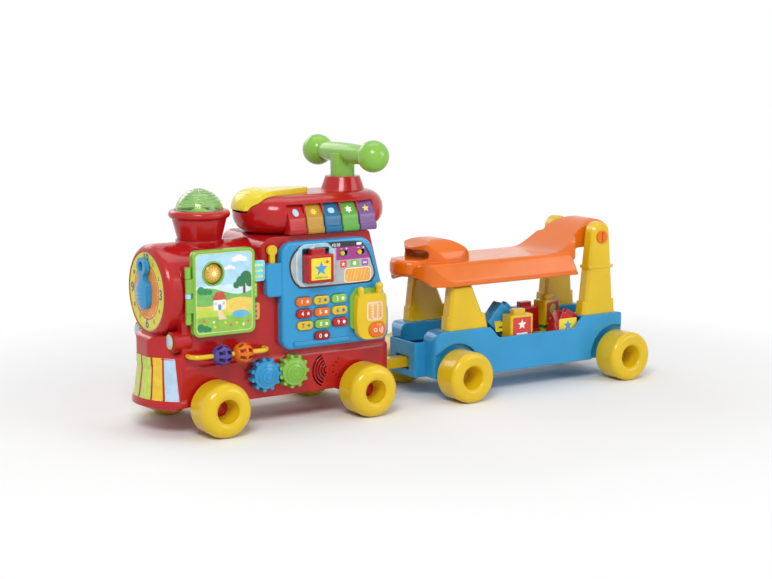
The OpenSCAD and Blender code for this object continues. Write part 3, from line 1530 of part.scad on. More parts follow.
// Backrest: the rising saddle under a domed front view, necked in between the rear pillars
module backrest() {
  x = seat_hinge_at;
  start = x - slope_run;
  crest = seat_top + crest_h;
  under = seat_hinge_z - barrel_r;
  wide = seat_top_w / 2 - 2;
  neck = neck_w / 2;
  intersection() {
    side_extrude(-seat_w / 2, seat_w / 2) polygon(concat(
      [[start, seat_z + 12], [start, seat_top - 0.5]],
      [for (i = [0:14]) let (px = start + 10 + slope_run * i / 14) [px, saddle_z(px)]],
      rounded([[x + 12, crest], [x + back_end - 2, crest - 4], [x + back_end, crest - 34],
        [x + 16, under + 2], [x - 34, under], [rim_rear - 4, seat_z + 12]], [0, 14, 4, 10, 6, 0])));
    front_extrude(start - 1, x + back_end + 1) shoulder_section(2 * wide, seat_z, crest + 0.5, crest_dome);
    translate([0, 0, seat_z]) linear_extrude(seat_rise + crest_h + 10) polygon(rounded(
      [[start, -wide - 1], [rim_rear + 8, -wide - 1], [rim_rear + 14, -neck], [x + back_end + 1, -neck],
       [x + back_end + 1, neck], [rim_rear + 14, neck], [rim_rear + 8, wide + 1], [start, wide + 1]],
      [0, 5, 3, 14, 14, 3, 5, 0]));
  }
}

module lip_profile() {
  r = lip_t / 2 - 5;
  square([lip_r - r, lip_t]);
  translate([0, r]) square([lip_r, lip_t - 2 * r]);
  for (z = [r, lip_t - r]) translate([lip_r - r, z]) circle(r);
}

module handle_lip() {
  translate([lip_r - lip_front, 0, seat_z + lip_under]) {
    difference() {
      rotate_extrude() intersection() {
        lip_profile();
        square([lip_r, lip_t]);
      }
      for (a = [-54:18:54], z = [0, lip_t]) rotate([0, 0, 180 + a]) translate([lip_r + 1.5, 0, z])
        sphere(5);
    }
    translate([0, -lip_r, 0]) cube([24, 2 * lip_r, lip_t - 5]);
  }
}

module seat() {
  cut_y = pillar_in_y - 0.5;
  mouth_z = seat_z + lip_under + lip_t + mouth_h / 2;
  color("darkorange") at_wagon() difference() {
    union() {
      difference() {
        union() {
          seat_body(0);
          translate([0, 0, seat_z]) linear_extrude(rim_edge) seat_plan(0);
          hump(0);
        }
        // Raised lower edge at the front, under the handle lip
        side_extrude(-seat_w, seat_w) polygon(rounded([[-rim_front - 9, 0], [-rim_front + 30, 0],
          [-rim_front + 30, seat_z], [-rim_front + 3, seat_z + lip_under + 3],
          [-rim_front - 9, seat_z + lip_under + 3]], [0, 0, 40, 0, 0]));
        difference() {
          union() {
            seat_body(seat_wall);
            hump(seat_wall);
          }
          // Pads that rest on the front pillars
          for (s = [-1, 1]) block([-8, s * (pillar_in_y + pillar_t / 2) - 8, 0],
                      [34, s * (pillar_in_y + pillar_t / 2) + 8, seat_top]);
        }
      }
      handle_lip();
      backrest();
      rod_y(seat_hinge_at, seat_hinge_z, 2 * barrel_r, -neck_w / 2 + 0.6, neck_w / 2 - 0.6);
    }
    block([-200, -seat_w, 0], [wagon_wheelbase, seat_w, seat_z]);
    front_extrude(-lip_front, hump_mid - hump_l / 2 + 30) translate([0, mouth_z])
      rounded_rect(2 * lip_r, mouth_h, 6);
    // Room for the rear pillars
    for (s = [-1, 1]) block([rim_rear + 14, s > 0 ? cut_y : -seat_w, 0],
      [wagon_wheelbase + 60, s > 0 ? seat_w : -cut_y, 500]);
    rod_y(seat_hinge_at, seat_hinge_z, seat_pin_d + 2 * run_fit, -seat_w, seat_w);
  }
}

// Loose blocks: upright rows on the tray's floor, more stacked, lying and tumbled on them
block_round = 2.5;
function lowest(tilt) = min([for (x = [block_round, block_w - block_round],
  z = [block_round, block_h - block_round])
  z * cos(tilt) - x * sin(tilt)]) - block_round;

module tumbled_block(x, y, z, tilt, yaw) {
  translate([x, y, z - lowest(tilt)]) rotate([0, 0, yaw]) rotate([0, tilt, 0]) letter_block();
}

module loose_blocks() {
  floor_z = wagon_bottom + wall + seat_fit;
  top_z = floor_z + block_h + seat_fit;
  step = block_w + 2;
  near_y = -wagon_w / 2 + wall + 3;
  mid_y = near_y + block_t + 2;
  far_y = mid_y + block_t + 2;
  x = tray_front - 20;
  color("crimson") at_wagon() {
    for (i = [0:2]) translate([x + i * step, near_y, floor_z]) letter_block();
    for (i = [0:2]) translate([x + 6 + i * step, mid_y, floor_z]) letter_block();
    for (i = [2:3]) translate([x + 6 + i * step, far_y, floor_z]) letter_block();
    // Lying on its back
    translate([x + 6 + 3 * step, near_y, floor_z + block_t]) rotate([-90, 0, 0]) letter_block();
    // Stacked on the studs of others
    translate([x + step, near_y, top_z]) letter_block();
    translate([x + 6 + 2 * step, far_y, top_z]) letter_block();
    // Tumbled
    tumbled_block(x + 21, mid_y, top_z, 42, 0);
    tumbled_block(x + 2.85 * step, near_y, floor_z + block_t + seat_fit, 28, 0);
    tumbled_block(x + 6 + 3.18 * step, far_y - 4, top_z + stud_h, 0, 20);
  }
}

engine_shell();
engine_base();
battery_door();
batteries();
speaker();
circuit_board();
chimney();
chimney_lens();
clock_dial();
cab_roof();
handle();
bead_bar();
phone_panel();
handset_cradle();
book_back();
book_lens();
clock_hand();
horn_button();
for (i = [0:4]) piano_key(i);
book_cover();
book_page();
color("slateblue") cage_bead(bead_a_x);  // bead_purple
color("darkorange") cage_bead(bead_a_x + bead_dx);  // bead_orange
color("dodgerblue") knob_gear(gear_x, 0);  // gear_blue
color("limegreen") knob_gear(gear_x + gear_dx, mesh_turn);  // gear_green
reader_block();
slide_switch(0);  // power_switch
slide_switch(1);  // mode_switch
for (i = [0:9]) keypad_key(i);
handset();
handset_button();
selector_lever();
at_engine() wheel_pair(0, engine_shoulder);  // engine_front_wheels
at_engine() axle(0);  // engine_front_axle
at_engine()  // engine_rear_wheels
  wheel_pair(engine_wheelbase, engine_shoulder);
at_engine() axle(engine_wheelbase);  // engine_rear_axle
drawbar();
wagon_body();
front_pillars();
rear_pillars();
seat();
seat_pins();
at_wagon() wheel_pair(0, wagon_shoulder);  // wagon_front_wheels
at_wagon() axle(0);  // wagon_front_axle
at_wagon() wheel_pair(wagon_wheelbase, wagon_shoulder);  // wagon_rear_wheels
at_wagon() axle(wagon_wheelbase);  // wagon_rear_axle
loose_blocks();
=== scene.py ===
"""Looks of the ride-on train: moulded plastic, prints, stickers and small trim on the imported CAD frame."""

import math

import bmesh
import bpy
from mathutils import Matrix, Vector
from mathutils.bvhtree import BVHTree


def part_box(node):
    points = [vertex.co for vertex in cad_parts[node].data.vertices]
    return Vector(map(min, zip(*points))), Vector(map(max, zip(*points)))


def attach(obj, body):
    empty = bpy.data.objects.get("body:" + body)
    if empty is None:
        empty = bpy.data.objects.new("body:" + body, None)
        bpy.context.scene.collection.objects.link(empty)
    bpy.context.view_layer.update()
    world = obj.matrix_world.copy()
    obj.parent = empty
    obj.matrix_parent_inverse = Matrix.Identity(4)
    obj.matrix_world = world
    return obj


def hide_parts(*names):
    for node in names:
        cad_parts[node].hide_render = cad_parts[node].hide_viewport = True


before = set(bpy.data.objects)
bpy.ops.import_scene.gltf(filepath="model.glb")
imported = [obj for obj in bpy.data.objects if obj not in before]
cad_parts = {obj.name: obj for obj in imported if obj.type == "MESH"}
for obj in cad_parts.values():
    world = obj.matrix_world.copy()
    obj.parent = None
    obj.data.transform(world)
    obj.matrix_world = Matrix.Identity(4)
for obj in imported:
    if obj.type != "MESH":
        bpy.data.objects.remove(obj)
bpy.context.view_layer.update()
scene = bpy.context.scene

MM = 0.001

# Colours of the mouldings, linear
RED = (0.45, 0.008, 0.009)
DARK_RED = (0.30, 0.008, 0.013)
YELLOW = (0.72, 0.485, 0.009)
LEMON = (0.80, 0.66, 0.025)
AMBER = (0.48, 0.25, 0.018)
BLUE = (0.024, 0.29, 0.58)
DEEP_BLUE = (0.012, 0.14, 0.29)
GREEN = (0.225, 0.485, 0.06)
KEY_GREEN = (0.11, 0.37, 0.045)
ORANGE = (0.74, 0.150, 0.004)
PURPLE = (0.085, 0.055, 0.29)
LILAC = (0.19, 0.085, 0.27)
CHARCOAL = (0.05, 0.05, 0.055)
BOARD_GREEN = (0.02, 0.16, 0.06)
SLATE = (0.06, 0.07, 0.09)
DOME_PALE = (0.68, 0.88, 0.52)
DOME_DEEP = (0.46, 0.72, 0.30)
LENS_PALE = (0.95, 0.62, 0.10)
LENS_DEEP = (0.55, 0.26, 0.02)

# Colours that several prints share, linear
SKY = (0.40, 0.66, 0.86)
PALE_BLUE = (0.46, 0.62, 0.80)
CYAN = (0.18, 0.66, 0.74)
LEAF = (0.02, 0.22, 0.06)
LIME = (0.52, 0.64, 0.09)
GRASS = (0.20, 0.46, 0.08)
MAGENTA = (0.36, 0.02, 0.24)
PINK = (0.86, 0.56, 0.52)
BRICK = (0.62, 0.05, 0.03)
FILM_RED = (0.62, 0.03, 0.02)
SAND = (0.86, 0.68, 0.05)
FILM_YELLOW = (0.86, 0.68, 0.03)
WHITE = (0.86, 0.86, 0.84)
BLACK = (0.012, 0.012, 0.016)
GREY = (0.42, 0.44, 0.45)

# Colours of single prints by their names, linear
PRINT = {
    "dial_ring": (0.70, 0.66, 0.03),
    "dial_face": (0.80, 0.27, 0.03),
    "dial_tick": (0.95, 0.80, 0.30),
    "nose_yellow": (0.80, 0.52, 0.02),
    "book_sky": SKY,
    "book_edge_line": (0.66, 0.76, 0.30),
    "book_haze": (0.62, 0.80, 0.88),
    "book_far_hill": (0.16, 0.46, 0.10),
    "book_field": (0.80, 0.58, 0.10),
    "book_meadow": (0.50, 0.64, 0.06),
    "book_front_bank": (0.25, 0.50, 0.05),
    "book_tree": (0.015, 0.17, 0.06),
    "book_trunk": (0.16, 0.06, 0.02),
    "book_bush": (0.02, 0.24, 0.08),
    "book_house": (0.84, 0.80, 0.72),
    "book_house_roof": (0.55, 0.06, 0.03),
    "book_house_door": (0.10, 0.22, 0.48),
    "book_house_window": (0.35, 0.62, 0.80),
    "book_path": (0.76, 0.60, 0.36),
    "book_pond": (0.12, 0.45, 0.70),
    "book_cloud": WHITE,
    "book_grove": (0.015, 0.20, 0.07),
    "lens_rays": (0.80, 0.50, 0.08),
    "lens_glow": (0.95, 0.82, 0.42),
    "sea": (0.10, 0.40, 0.66),
    "sun": (0.86, 0.60, 0.05),
    "garden": (0.62, 0.72, 0.10),
    "screen_window": (0.28, 0.62, 0.74),
    "screen_left_band": (0.50, 0.02, 0.20),
    "screen_map_line": (0.90, 0.84, 0.62),
    "screen_map": (0.80, 0.36, 0.05),
    "screen_map_stroke": (0.88, 0.62, 0.16),
    "reader_film": (0.86, 0.66, 0.02),
    "reader_star": (0.05, 0.30, 0.62),
    "reader_dot": (0.70, 0.06, 0.04),
    "handset_display": (0.84, 0.60, 0.46),
    "handset_dot": (0.80, 0.30, 0.16),
    "reflector": (0.80, 0.84, 0.40),
    "lamp": (0.86, 0.82, 0.30),
}

# Directions: the engine runs ahead, and the photograph shows the near side
AHEAD, REARWARD = Vector((-1, 0, 0)), Vector((1, 0, 0))
NEARWARD, FARWARD = Vector((0, -1, 0)), Vector((0, 1, 0))
UPWARD = Vector((0, 0, 1))

# Planes for flat prints: right and up, seen by someone who looks at the print
NEAR_SIDE = (REARWARD, UPWARD)
FRONT = (NEARWARD, UPWARD)
FAR_SIDE = (AHEAD, UPWARD)

# How far a print stands out of its carrier, and how much more for each layer above the lowest
PRINT_PROUD = 0.15 * MM
LAYER = 0.08 * MM

# The two sides of the train along Y
SIDES = ((-1, "near"), (1, "far"))


# Materials

def node(tree, kind, **inputs):
    """A shader node with its inputs set: a plain value, or another node's output socket."""
    made = tree.nodes.new(kind)
    for name, value in inputs.items():
        socket = made.inputs[name.replace("_", " ")]
        if isinstance(value, bpy.types.NodeSocket):
            tree.links.new(value, socket)
        else:
            socket.default_value = value
    return made


def new_tree(name):
    material = bpy.data.materials.new(name)
    material.use_nodes = True
    tree = material.node_tree
    shader = next(n for n in tree.nodes if n.type == "BSDF_PRINCIPLED")
    return material, tree, shader


def mixed(tree, factor, low, high):
    """Colour output between two colours by a factor socket."""
    mix = tree.nodes.new("ShaderNodeMix")
    mix.data_type = "RGBA"
    factor_in, low_in, high_in = mix.inputs[0], mix.inputs[6], mix.inputs[7]
    for value, socket in ((factor, factor_in), (low, low_in), (high, high_in)):
        if isinstance(value, bpy.types.NodeSocket):
            tree.links.new(value, socket)
        else:
            socket.default_value = value
    return mix.outputs[2]


def ranged(tree, value, low, high, to_low, to_high):
    made = node(tree, "ShaderNodeMapRange", Value=value)
    for name, number in zip(("From Min", "From Max", "To Min", "To Max"), (low, high, to_low, to_high)):
        made.inputs[name].default_value = number
    return made.outputs[0]


def paint(tree, shader, color, rough):
    tree.links.new(color, shader.inputs["Base Color"])
    tree.links.new(rough, shader.inputs["Roughness"])


def shade(color, amount):
    return tuple(min(1.0, channel * amount) for channel in color) + (1.0,)


def own_place(tree):
    return tree.nodes.new("ShaderNodeTexCoord").outputs["Object"]


def noise(tree, place, scale, detail):
    return node(tree, "ShaderNodeTexNoise", Vector=place, Scale=scale, Detail=detail).outputs["Fac"]


def seen_rays(tree):
    """1 for rays that see the backdrop: straight from the camera, in a gloss or through clear plastic."""
    path = tree.nodes.new("ShaderNodeLightPath")
    total = path.outputs["Is Camera Ray"]
    for word in ("Is Glossy Ray", "Is Transmission Ray"):
        larger = tree.nodes.new("ShaderNodeMath")
        larger.operation = "MAXIMUM"
        tree.links.new(total, larger.inputs[0])
        tree.links.new(path.outputs[word], larger.inputs[1])
        total = larger.outputs[0]
    return total


# Rounding of the edges of small mouldings and of large ones
SMALL_EDGE = 1.8 * MM
LARGE_EDGE = 3.5 * MM


ROUGH_LOW, ROUGH_HIGH = 0.12, 0.26


def moulded(name, color, edge):
    """Injection-moulded plastic: soft edges, faint flow marks, fine grain and a painted highlight that makes
    the edges paler.
    """
    material, tree, shader = new_tree(name)
    place = own_place(tree)
    flow = noise(tree, place, 14.0, 3.0)
    grain = noise(tree, place, 1500.0, 2.0)
    scuffs = noise(tree, place, 75.0, 5.0)
    rounded = node(tree, "ShaderNodeBevel", Radius=edge)
    rounded.samples = 4
    true_normal = tree.nodes.new("ShaderNodeNewGeometry").outputs["Normal"]
    turn = tree.nodes.new("ShaderNodeVectorMath")
    turn.operation = "DOT_PRODUCT"
    tree.links.new(rounded.outputs[0], turn.inputs[0])
    tree.links.new(true_normal, turn.inputs[1])
    # Painted highlight: a paler band along every edge, where the rounded normal turns from the true one
    rim_highlight = ranged(tree, turn.outputs["Value"], 0.86, 0.99, 0.3, 0.0)
    body = mixed(tree, ranged(tree, flow, 0.3, 0.7, 0.0, 1.0), shade(color, 0.93), shade(color, 1.06))
    skin = mixed(tree, rim_highlight, body, shade(color, 1.35))
    paint(tree, shader, skin, ranged(tree, scuffs, 0.35, 0.75, ROUGH_LOW, ROUGH_HIGH))
    bump = node(tree, "ShaderNodeBump", Strength=0.025, Distance=0.0002, Height=grain,
                Normal=rounded.outputs[0])
    tree.links.new(bump.outputs[0], shader.inputs["Normal"])
    shader.inputs["Coat Weight"].default_value = 0.16
    shader.inputs["Coat Roughness"].default_value = 0.04
    shader.inputs["Specular IOR Level"].default_value = 0.34
    return material


FADE, HALF_TONE = 0.10, 0.08


def printed(name, color):
    """Printed film: a half-tone of the colour with faint unevenness and a satin face."""
    material, tree, shader = new_tree(name)
    place = own_place(tree)
    cloud = noise(tree, place, 90.0, 3.0)
    tone = node(tree, "ShaderNodeTexVoronoi", Vector=place, Scale=1400.0).outputs["Distance"]
    dull, bright = shade(color, 1.0 - FADE), shade(color, 1.0 + FADE)
    body = mixed(tree, ranged(tree, cloud, 0.3, 0.7, 0.0, 1.0), dull, bright)
    dots = mixed(tree, ranged(tree, tone, 0.25, 0.4, HALF_TONE, 0.0), body, shade(WHITE, 1.0))
    paint(tree, shader, dots, ranged(tree, cloud, 0.3, 0.7, 0.30, 0.42))
    return material


def clear_plastic(name, color, deep, rough, through):
    """Tinted clear plastic, a little deeper in colour where a slow noise pools it."""
    material, tree, shader = new_tree(name)
    pools = noise(tree, own_place(tree), 22.0, 2.0)
    tint = mixed(tree, ranged(tree, pools, 0.35, 0.7, 0.0, 1.0), shade(deep, 1.0), shade(color, 1.0))
    paint(tree, shader, tint, ranged(tree, pools, 0.3, 0.7, rough, rough + 0.08))
    shader.inputs["Transmission Weight"].default_value = through
    shader.inputs["IOR"].default_value = 1.49
    return material


def brushed_steel(name):
    """Bright steel with fine lines along Y."""
    material, tree, shader = new_tree(name)
    stretch = node(tree, "ShaderNodeMapping", Vector=own_place(tree))
    stretch.inputs["Scale"].default_value = (900.0, 12.0, 900.0)
    lines = noise(tree, stretch.outputs[0], 1.0, 4.0)
    tint = mixed(tree, lines, (0.50, 0.50, 0.52, 1), (0.72, 0.72, 0.73, 1))
    paint(tree, shader, tint, ranged(tree, lines, 0.2, 0.8, 0.22, 0.40))
    shader.inputs["Metallic"].default_value = 1.0
    return material


def dark_matt(name, color):
    """Dull material with a fine grain."""
    material, tree, shader = new_tree(name)
    grain = noise(tree, own_place(tree), 420.0, 4.0)
    tint = mixed(tree, grain, shade(color, 0.8), shade(color, 1.3))
    paint(tree, shader, tint, ranged(tree, grain, 0.3, 0.7, 0.5, 0.7))
    return material


MOULDINGS = {
    "red": (RED, SMALL_EDGE),
    "red_body": (RED, LARGE_EDGE),
    "blue_body": (BLUE, LARGE_EDGE),
    "orange_body": (ORANGE, LARGE_EDGE),
    "dark_red": (DARK_RED, SMALL_EDGE),
    "yellow": (YELLOW, SMALL_EDGE),
    "lemon": (LEMON, SMALL_EDGE),
    "amber": (AMBER, LARGE_EDGE),
    "blue": (BLUE, SMALL_EDGE),
    "deep_blue": (DEEP_BLUE, LARGE_EDGE),
    "green": (GREEN, SMALL_EDGE),
    "leaf": (KEY_GREEN, LARGE_EDGE),
    "orange": (ORANGE, SMALL_EDGE),
    "purple": (PURPLE, SMALL_EDGE),
    "lilac": (LILAC, LARGE_EDGE),
}
plastic = {look: moulded(look + "_plastic", color, edge) for look, (color, edge) in MOULDINGS.items()}
steel = brushed_steel("brushed_steel")
dark = dark_matt("dark_matt_plastic", CHARCOAL)
board = dark_matt("circuit_board_green", BOARD_GREEN)
cell_sleeve = dark_matt("cell_sleeve", SLATE)
green_dome = clear_plastic("clear_green_plastic", DOME_PALE, DOME_DEEP, 0.02, 0.93)
amber_lens = clear_plastic("clear_amber_plastic", LENS_PALE, LENS_DEEP, 0.10, 0.35)

inks = {}


def ink(color):
    """One printed material for each colour."""
    if color not in inks:
        inks[color] = printed("print_%02d" % (len(inks) + 1), color)
    return inks[color]


NODE_MATERIALS = {
    "red_body": ["engine_shell", "cab_roof", "piano_key_red"],
    "blue_body": ["phone_panel", "wagon_body"],
    "orange_body": ["seat"],
    "red": ["engine_base", "chimney", "reader_block", "keypad_4", "keypad_9"],
    "dark_red": ["keypad_0"],
    "yellow": ["clock_dial", "bead_bar", "power_switch", "mode_switch", "keypad_2", "keypad_6", "keypad_7",
               "handset", "selector_lever", "engine_front_wheels", "engine_rear_wheels", "drawbar",
               "front_pillars", "rear_pillars", "wagon_front_wheels", "wagon_rear_wheels"],
    "lemon": ["horn_button"],
    "amber": ["piano_key_amber"],
    "blue": ["clock_hand", "gear_blue"],
    "deep_blue": ["piano_key_blue"],
    "green": ["handle", "handset_cradle", "book_back", "book_cover", "gear_green", "keypad_3", "keypad_8"],
    "leaf": ["piano_key_green"],
    "orange": ["bead_orange", "keypad_1", "keypad_5", "handset_button", "seat_pins"],
    "purple": ["bead_purple"],
    "lilac": ["piano_key_purple"],
}


def dress(name, material):
    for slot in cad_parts[name].material_slots:
        slot.link = "OBJECT"
        slot.material = material


for look, names in NODE_MATERIALS.items():
    for name in names:
        dress(name, plastic[look])
for name in ("engine_front_axle", "engine_rear_axle", "wagon_front_axle", "wagon_rear_axle"):
    dress(name, steel)
for name in ("battery_door", "speaker"):
    dress(name, dark)
dress("circuit_board", board)
dress("batteries", cell_sleeve)
dress("chimney_lens", green_dome)
dress("book_lens", amber_lens)
dress("book_page", ink(SKY))


# Shapes for prints, in millimetres on their plane

def rounded_box(u, v, width, height, radius, steps=6):
    points = []
    for side_u, side_v, start in ((1, 1, 0), (-1, 1, 90), (-1, -1, 180), (1, -1, 270)):
        for i in range(steps + 1):
            angle = math.radians(start + 90 * i / steps)
            points.append((u + side_u * (width / 2 - radius) + radius * math.cos(angle),
                           v + side_v * (height / 2 - radius) + radius * math.sin(angle)))
    return points


def disc(u, v, radius, steps=40, squash=1.0):
    angles = [2 * math.pi * i / steps for i in range(steps)]
    return [(u + radius * math.cos(a), v + squash * radius * math.sin(a)) for a in angles]


def star(u, v, radius, points=5, waist=0.45, turn=90):
    shape = []
    for i in range(2 * points):
        reach = radius if i % 2 == 0 else radius * waist
        angle = math.radians(turn + 180 * i / points)
        shape.append((u + reach * math.cos(angle), v + reach * math.sin(angle)))
    return shape


def hill(left, right, foot, height, sway, steps=24):
    """Ground with a wavy top edge between two sides."""
    top = [(left + (right - left) * i / steps,
            height + sway * math.sin(math.pi * (0.2 + 1.7 * i / steps))) for i in range(steps + 1)]
    return [(left, foot), (right, foot)] + top[::-1]


# Pieces

def add_piece(name, mesh, material, body):
    piece = bpy.data.objects.new(name, mesh)
    scene.collection.objects.link(piece)
    mesh.materials.append(material)
    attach(piece, body)
    return piece


def mesh_of(name, made):
    """The bmesh as a mesh; the bmesh is freed."""
    mesh = bpy.data.meshes.new(name)
    made.to_mesh(mesh)
    made.free()
    return mesh


def mesh_from(name, data):
    """The mesh that a text or a curve makes."""
    holder = bpy.data.objects.new(name + "_holder", data)
    scene.collection.objects.link(holder)
    bpy.context.view_layer.update()
    graph = bpy.context.evaluated_depsgraph_get()
    mesh = bpy.data.meshes.new_from_object(holder.evaluated_get(graph))
    bpy.data.objects.remove(holder)
    mesh.name = name
    mesh.materials.clear()
    return mesh


def filled(outline, holes):
    """A bmesh with the flat area inside outline and outside holes, in its own plane."""
    made = bmesh.new()
    for loop in [outline] + holes:
        corners = [made.verts.new((u, v, 0.0)) for u, v in loop]
        for i, corner in enumerate(corners):
            made.edges.new((corner, corners[(i + 1) % len(corners)]))
    bmesh.ops.triangle_fill(made, use_beauty=True, edges=made.edges[:])
    return made


def sheet(name, outline, origin, plane, color, body, layer=0, holes=(), surface=None, cut=0):
    """A thin print. origin is where u = v = 0; surface(u, v) gives how far the carrier stands back there."""
    right, up = plane
    out = right.cross(up)
    made = filled(outline, list(holes))
    if cut:
        bmesh.ops.subdivide_edges(made, edges=made.edges[:], cuts=cut, use_grid_fill=True)
    bmesh.ops.recalc_face_normals(made, faces=made.faces[:])
    back = bmesh.ops.extrude_face_region(made, geom=made.faces[:])
    lower = {v for v in back["geom"] if isinstance(v, bmesh.types.BMVert)}
    for vert in made.verts:
        u, v = vert.co.x, vert.co.y
        depth = surface(u, v) * MM if surface else 0.0
        lift = -PRINT_PROUD if vert in lower else PRINT_PROUD + layer * LAYER
        vert.co = origin + right * u * MM + up * v * MM + out * (lift - depth)
    bmesh.ops.recalc_face_normals(made, faces=made.faces[:])
    add_piece(name, mesh_of(name, made), ink(color), body)


def numeral(name, text, size, origin, plane, color, body, layer=3):
    """Raised figures with their middle at origin."""
    right, up = plane
    data = bpy.data.curves.new(name, "FONT")
    data.body = text
    data.size = size * MM
    data.extrude = PRINT_PROUD
    data.offset = 0.012 * size * MM
    data.align_x = "CENTER"
    data.align_y = "CENTER"
    mesh = mesh_from(name, data)
    out = right.cross(up)
    turn = Matrix((right, up, out)).transposed().to_4x4()
    mesh.transform(Matrix.Translation(origin + out * (PRINT_PROUD + layer * LAYER)) @ turn)
    add_piece(name, mesh, ink(color), body)


def raised_line(name, points, radius, material, body, closed=False):
    """A raised round bead along points, its radius in millimetres."""
    data = bpy.data.curves.new(name, "CURVE")
    data.dimensions = "3D"
    data.bevel_depth = radius * MM
    data.bevel_resolution = 3
    data.use_fill_caps = True
    line = data.splines.new("POLY")
    line.points.add(len(points) - 1)
    for target, point in zip(line.points, points):
        target.co = (*point, 1.0)
    line.use_cyclic_u = closed
    mesh = mesh_from(name, data)
    for face in mesh.polygons:
        face.use_smooth = True
    add_piece(name, mesh, material, body)


def turned(name, profile, origin, axis, material, body, steps=48):
    """A lathe-turned piece: profile is (radius, height) in millimetres, height along axis from origin."""
    turn = axis.to_track_quat("Z", "Y").to_matrix().to_4x4()
    made = bmesh.new()
    rings = []
    for radius, height in profile:
        ring = disc(0, 0, radius, steps) if radius else [(0, 0)]
        rings.append([made.verts.new((x * MM, y * MM, height * MM)) for x, y in ring])
    for low, high in zip(rings, rings[1:]):
        for i in range(steps):
            j = (i + 1) % steps
            corners = [low[i % len(low)], low[j % len(low)], high[j % len(high)], high[i % len(high)]]
            unique = list(dict.fromkeys(corners))
            if len(unique) > 2:
                made.faces.new(unique)
    bmesh.ops.recalc_face_normals(made, faces=made.faces[:])
    for face in made.faces:
        face.smooth = True
    made.transform(Matrix.Translation(origin) @ turn)
    mesh = mesh_of(name, made)
    mesh.set_sharp_from_angle(angle=math.radians(40))
    add_piece(name, mesh, material, body)


def low_of(name):
    return Vector(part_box(name)[0])


def high_of(name):
    return Vector(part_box(name)[1])


def middle(name):
    return (low_of(name) + high_of(name)) / 2


def surface_of(name):
    """The node's faces for finding points on its skin."""
    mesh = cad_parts[name].data
    return BVHTree.FromPolygons([v.co for v in mesh.vertices], [p.vertices for p in mesh.polygons])


engine_x = middle("engine_front_axle").x


# Clock: printed ring, inner disc, hour figures and minute ticks

dial = middle("clock_dial")
dial.x = low_of("clock_dial").x
DIAL_R = 57.0
RING_IN = 41.0
HOUR_R = 48.0
SHAFT_R = 6.5
LINE_HALF = 0.8
MAIN_FIGURE, SMALL_FIGURE = 21.0, 8.5
SMALL_HOURS = [RED, DEEP_BLUE, LEAF, MAGENTA]
# Ticks: where they end inside the ring's edge, then length and half width
TICK_EDGE = 1.2
HOUR_TICK, MINUTE_TICK = (4.0, 0.9), (2.4, 0.5)
ring_edge = disc(0, 0, RING_IN, 60)
sheet("dial_ring", disc(0, 0, DIAL_R, 72), dial, FRONT, PRINT["dial_ring"], "engine", holes=[ring_edge])
sheet("dial_face", ring_edge, dial, FRONT, PRINT["dial_face"], "engine", holes=[disc(0, 0, SHAFT_R)])
sheet("dial_line", disc(0, 0, RING_IN + LINE_HALF, 60), dial, FRONT, BRICK, "engine", layer=1,
      holes=[disc(0, 0, RING_IN - LINE_HALF, 60)])
for hour in range(1, 13):
    angle = math.radians(90 - 30 * hour)
    spot = dial + MM * HOUR_R * (FRONT[0] * math.cos(angle) + FRONT[1] * math.sin(angle))
    main_hour = hour % 3 == 0
    size = MAIN_FIGURE if main_hour else SMALL_FIGURE
    color = PURPLE if main_hour else SMALL_HOURS[hour % len(SMALL_HOURS)]
    numeral("dial_hour_%d" % hour, str(hour), size, spot, FRONT, color, "engine")
for minute in range(60):
    angle = 2 * math.pi * minute / 60
    length, wide = HOUR_TICK if minute % 5 == 0 else MINUTE_TICK
    along = Vector((math.cos(angle), math.sin(angle)))
    across = Vector((-math.sin(angle), math.cos(angle)))
    inner, outer = along * (RING_IN - length), along * (RING_IN - TICK_EDGE)
    corners = [inner - across * wide, outer - across * wide, outer + across * wide, inner + across * wide]
    sheet("dial_tick_%02d" % minute, [(c.x, c.y) for c in corners], dial, FRONT, PRINT["dial_tick"],
          "engine", layer=1)


# Nose: coloured panels on the curved front

# A panel runs smoothly over the ledge above it, from this far below
LEDGE = 6.3
# Where rays towards a skin begin, in metres from it
OUTSIDE = 0.2
PANEL_FOOT, PANEL_TOP = 53.0, 115.0
PANEL_TAPER = 0.10
PANEL_STEPS = 10
PANEL_FRONT, PANEL_REAR = 0.4, -0.6
# Angles of a panel's edges from straight ahead
NOSE_PANELS = [("lime", 2.0, 18.5, LIME), ("yellow", 21.0, 33.5, PRINT["nose_yellow"]),
               ("blue", 36.0, 50.5, PALE_BLUE)]
shell_faces = surface_of("engine_shell")


def on_nose(angle, height, proud):
    """Point on the nose's skin: angle from straight ahead, positive towards the far side."""
    out = Vector((-math.cos(math.radians(angle)), math.sin(math.radians(angle)), 0))
    reached = []
    for z in (height, height + LEDGE):
        axis = Vector((engine_x, 0, z * MM))
        hit = shell_faces.ray_cast(axis + out * OUTSIDE, -out)[0]
        reached.append((hit - axis).dot(out))
    return Vector((engine_x, 0, height * MM)) + out * (max(reached) + proud * MM)


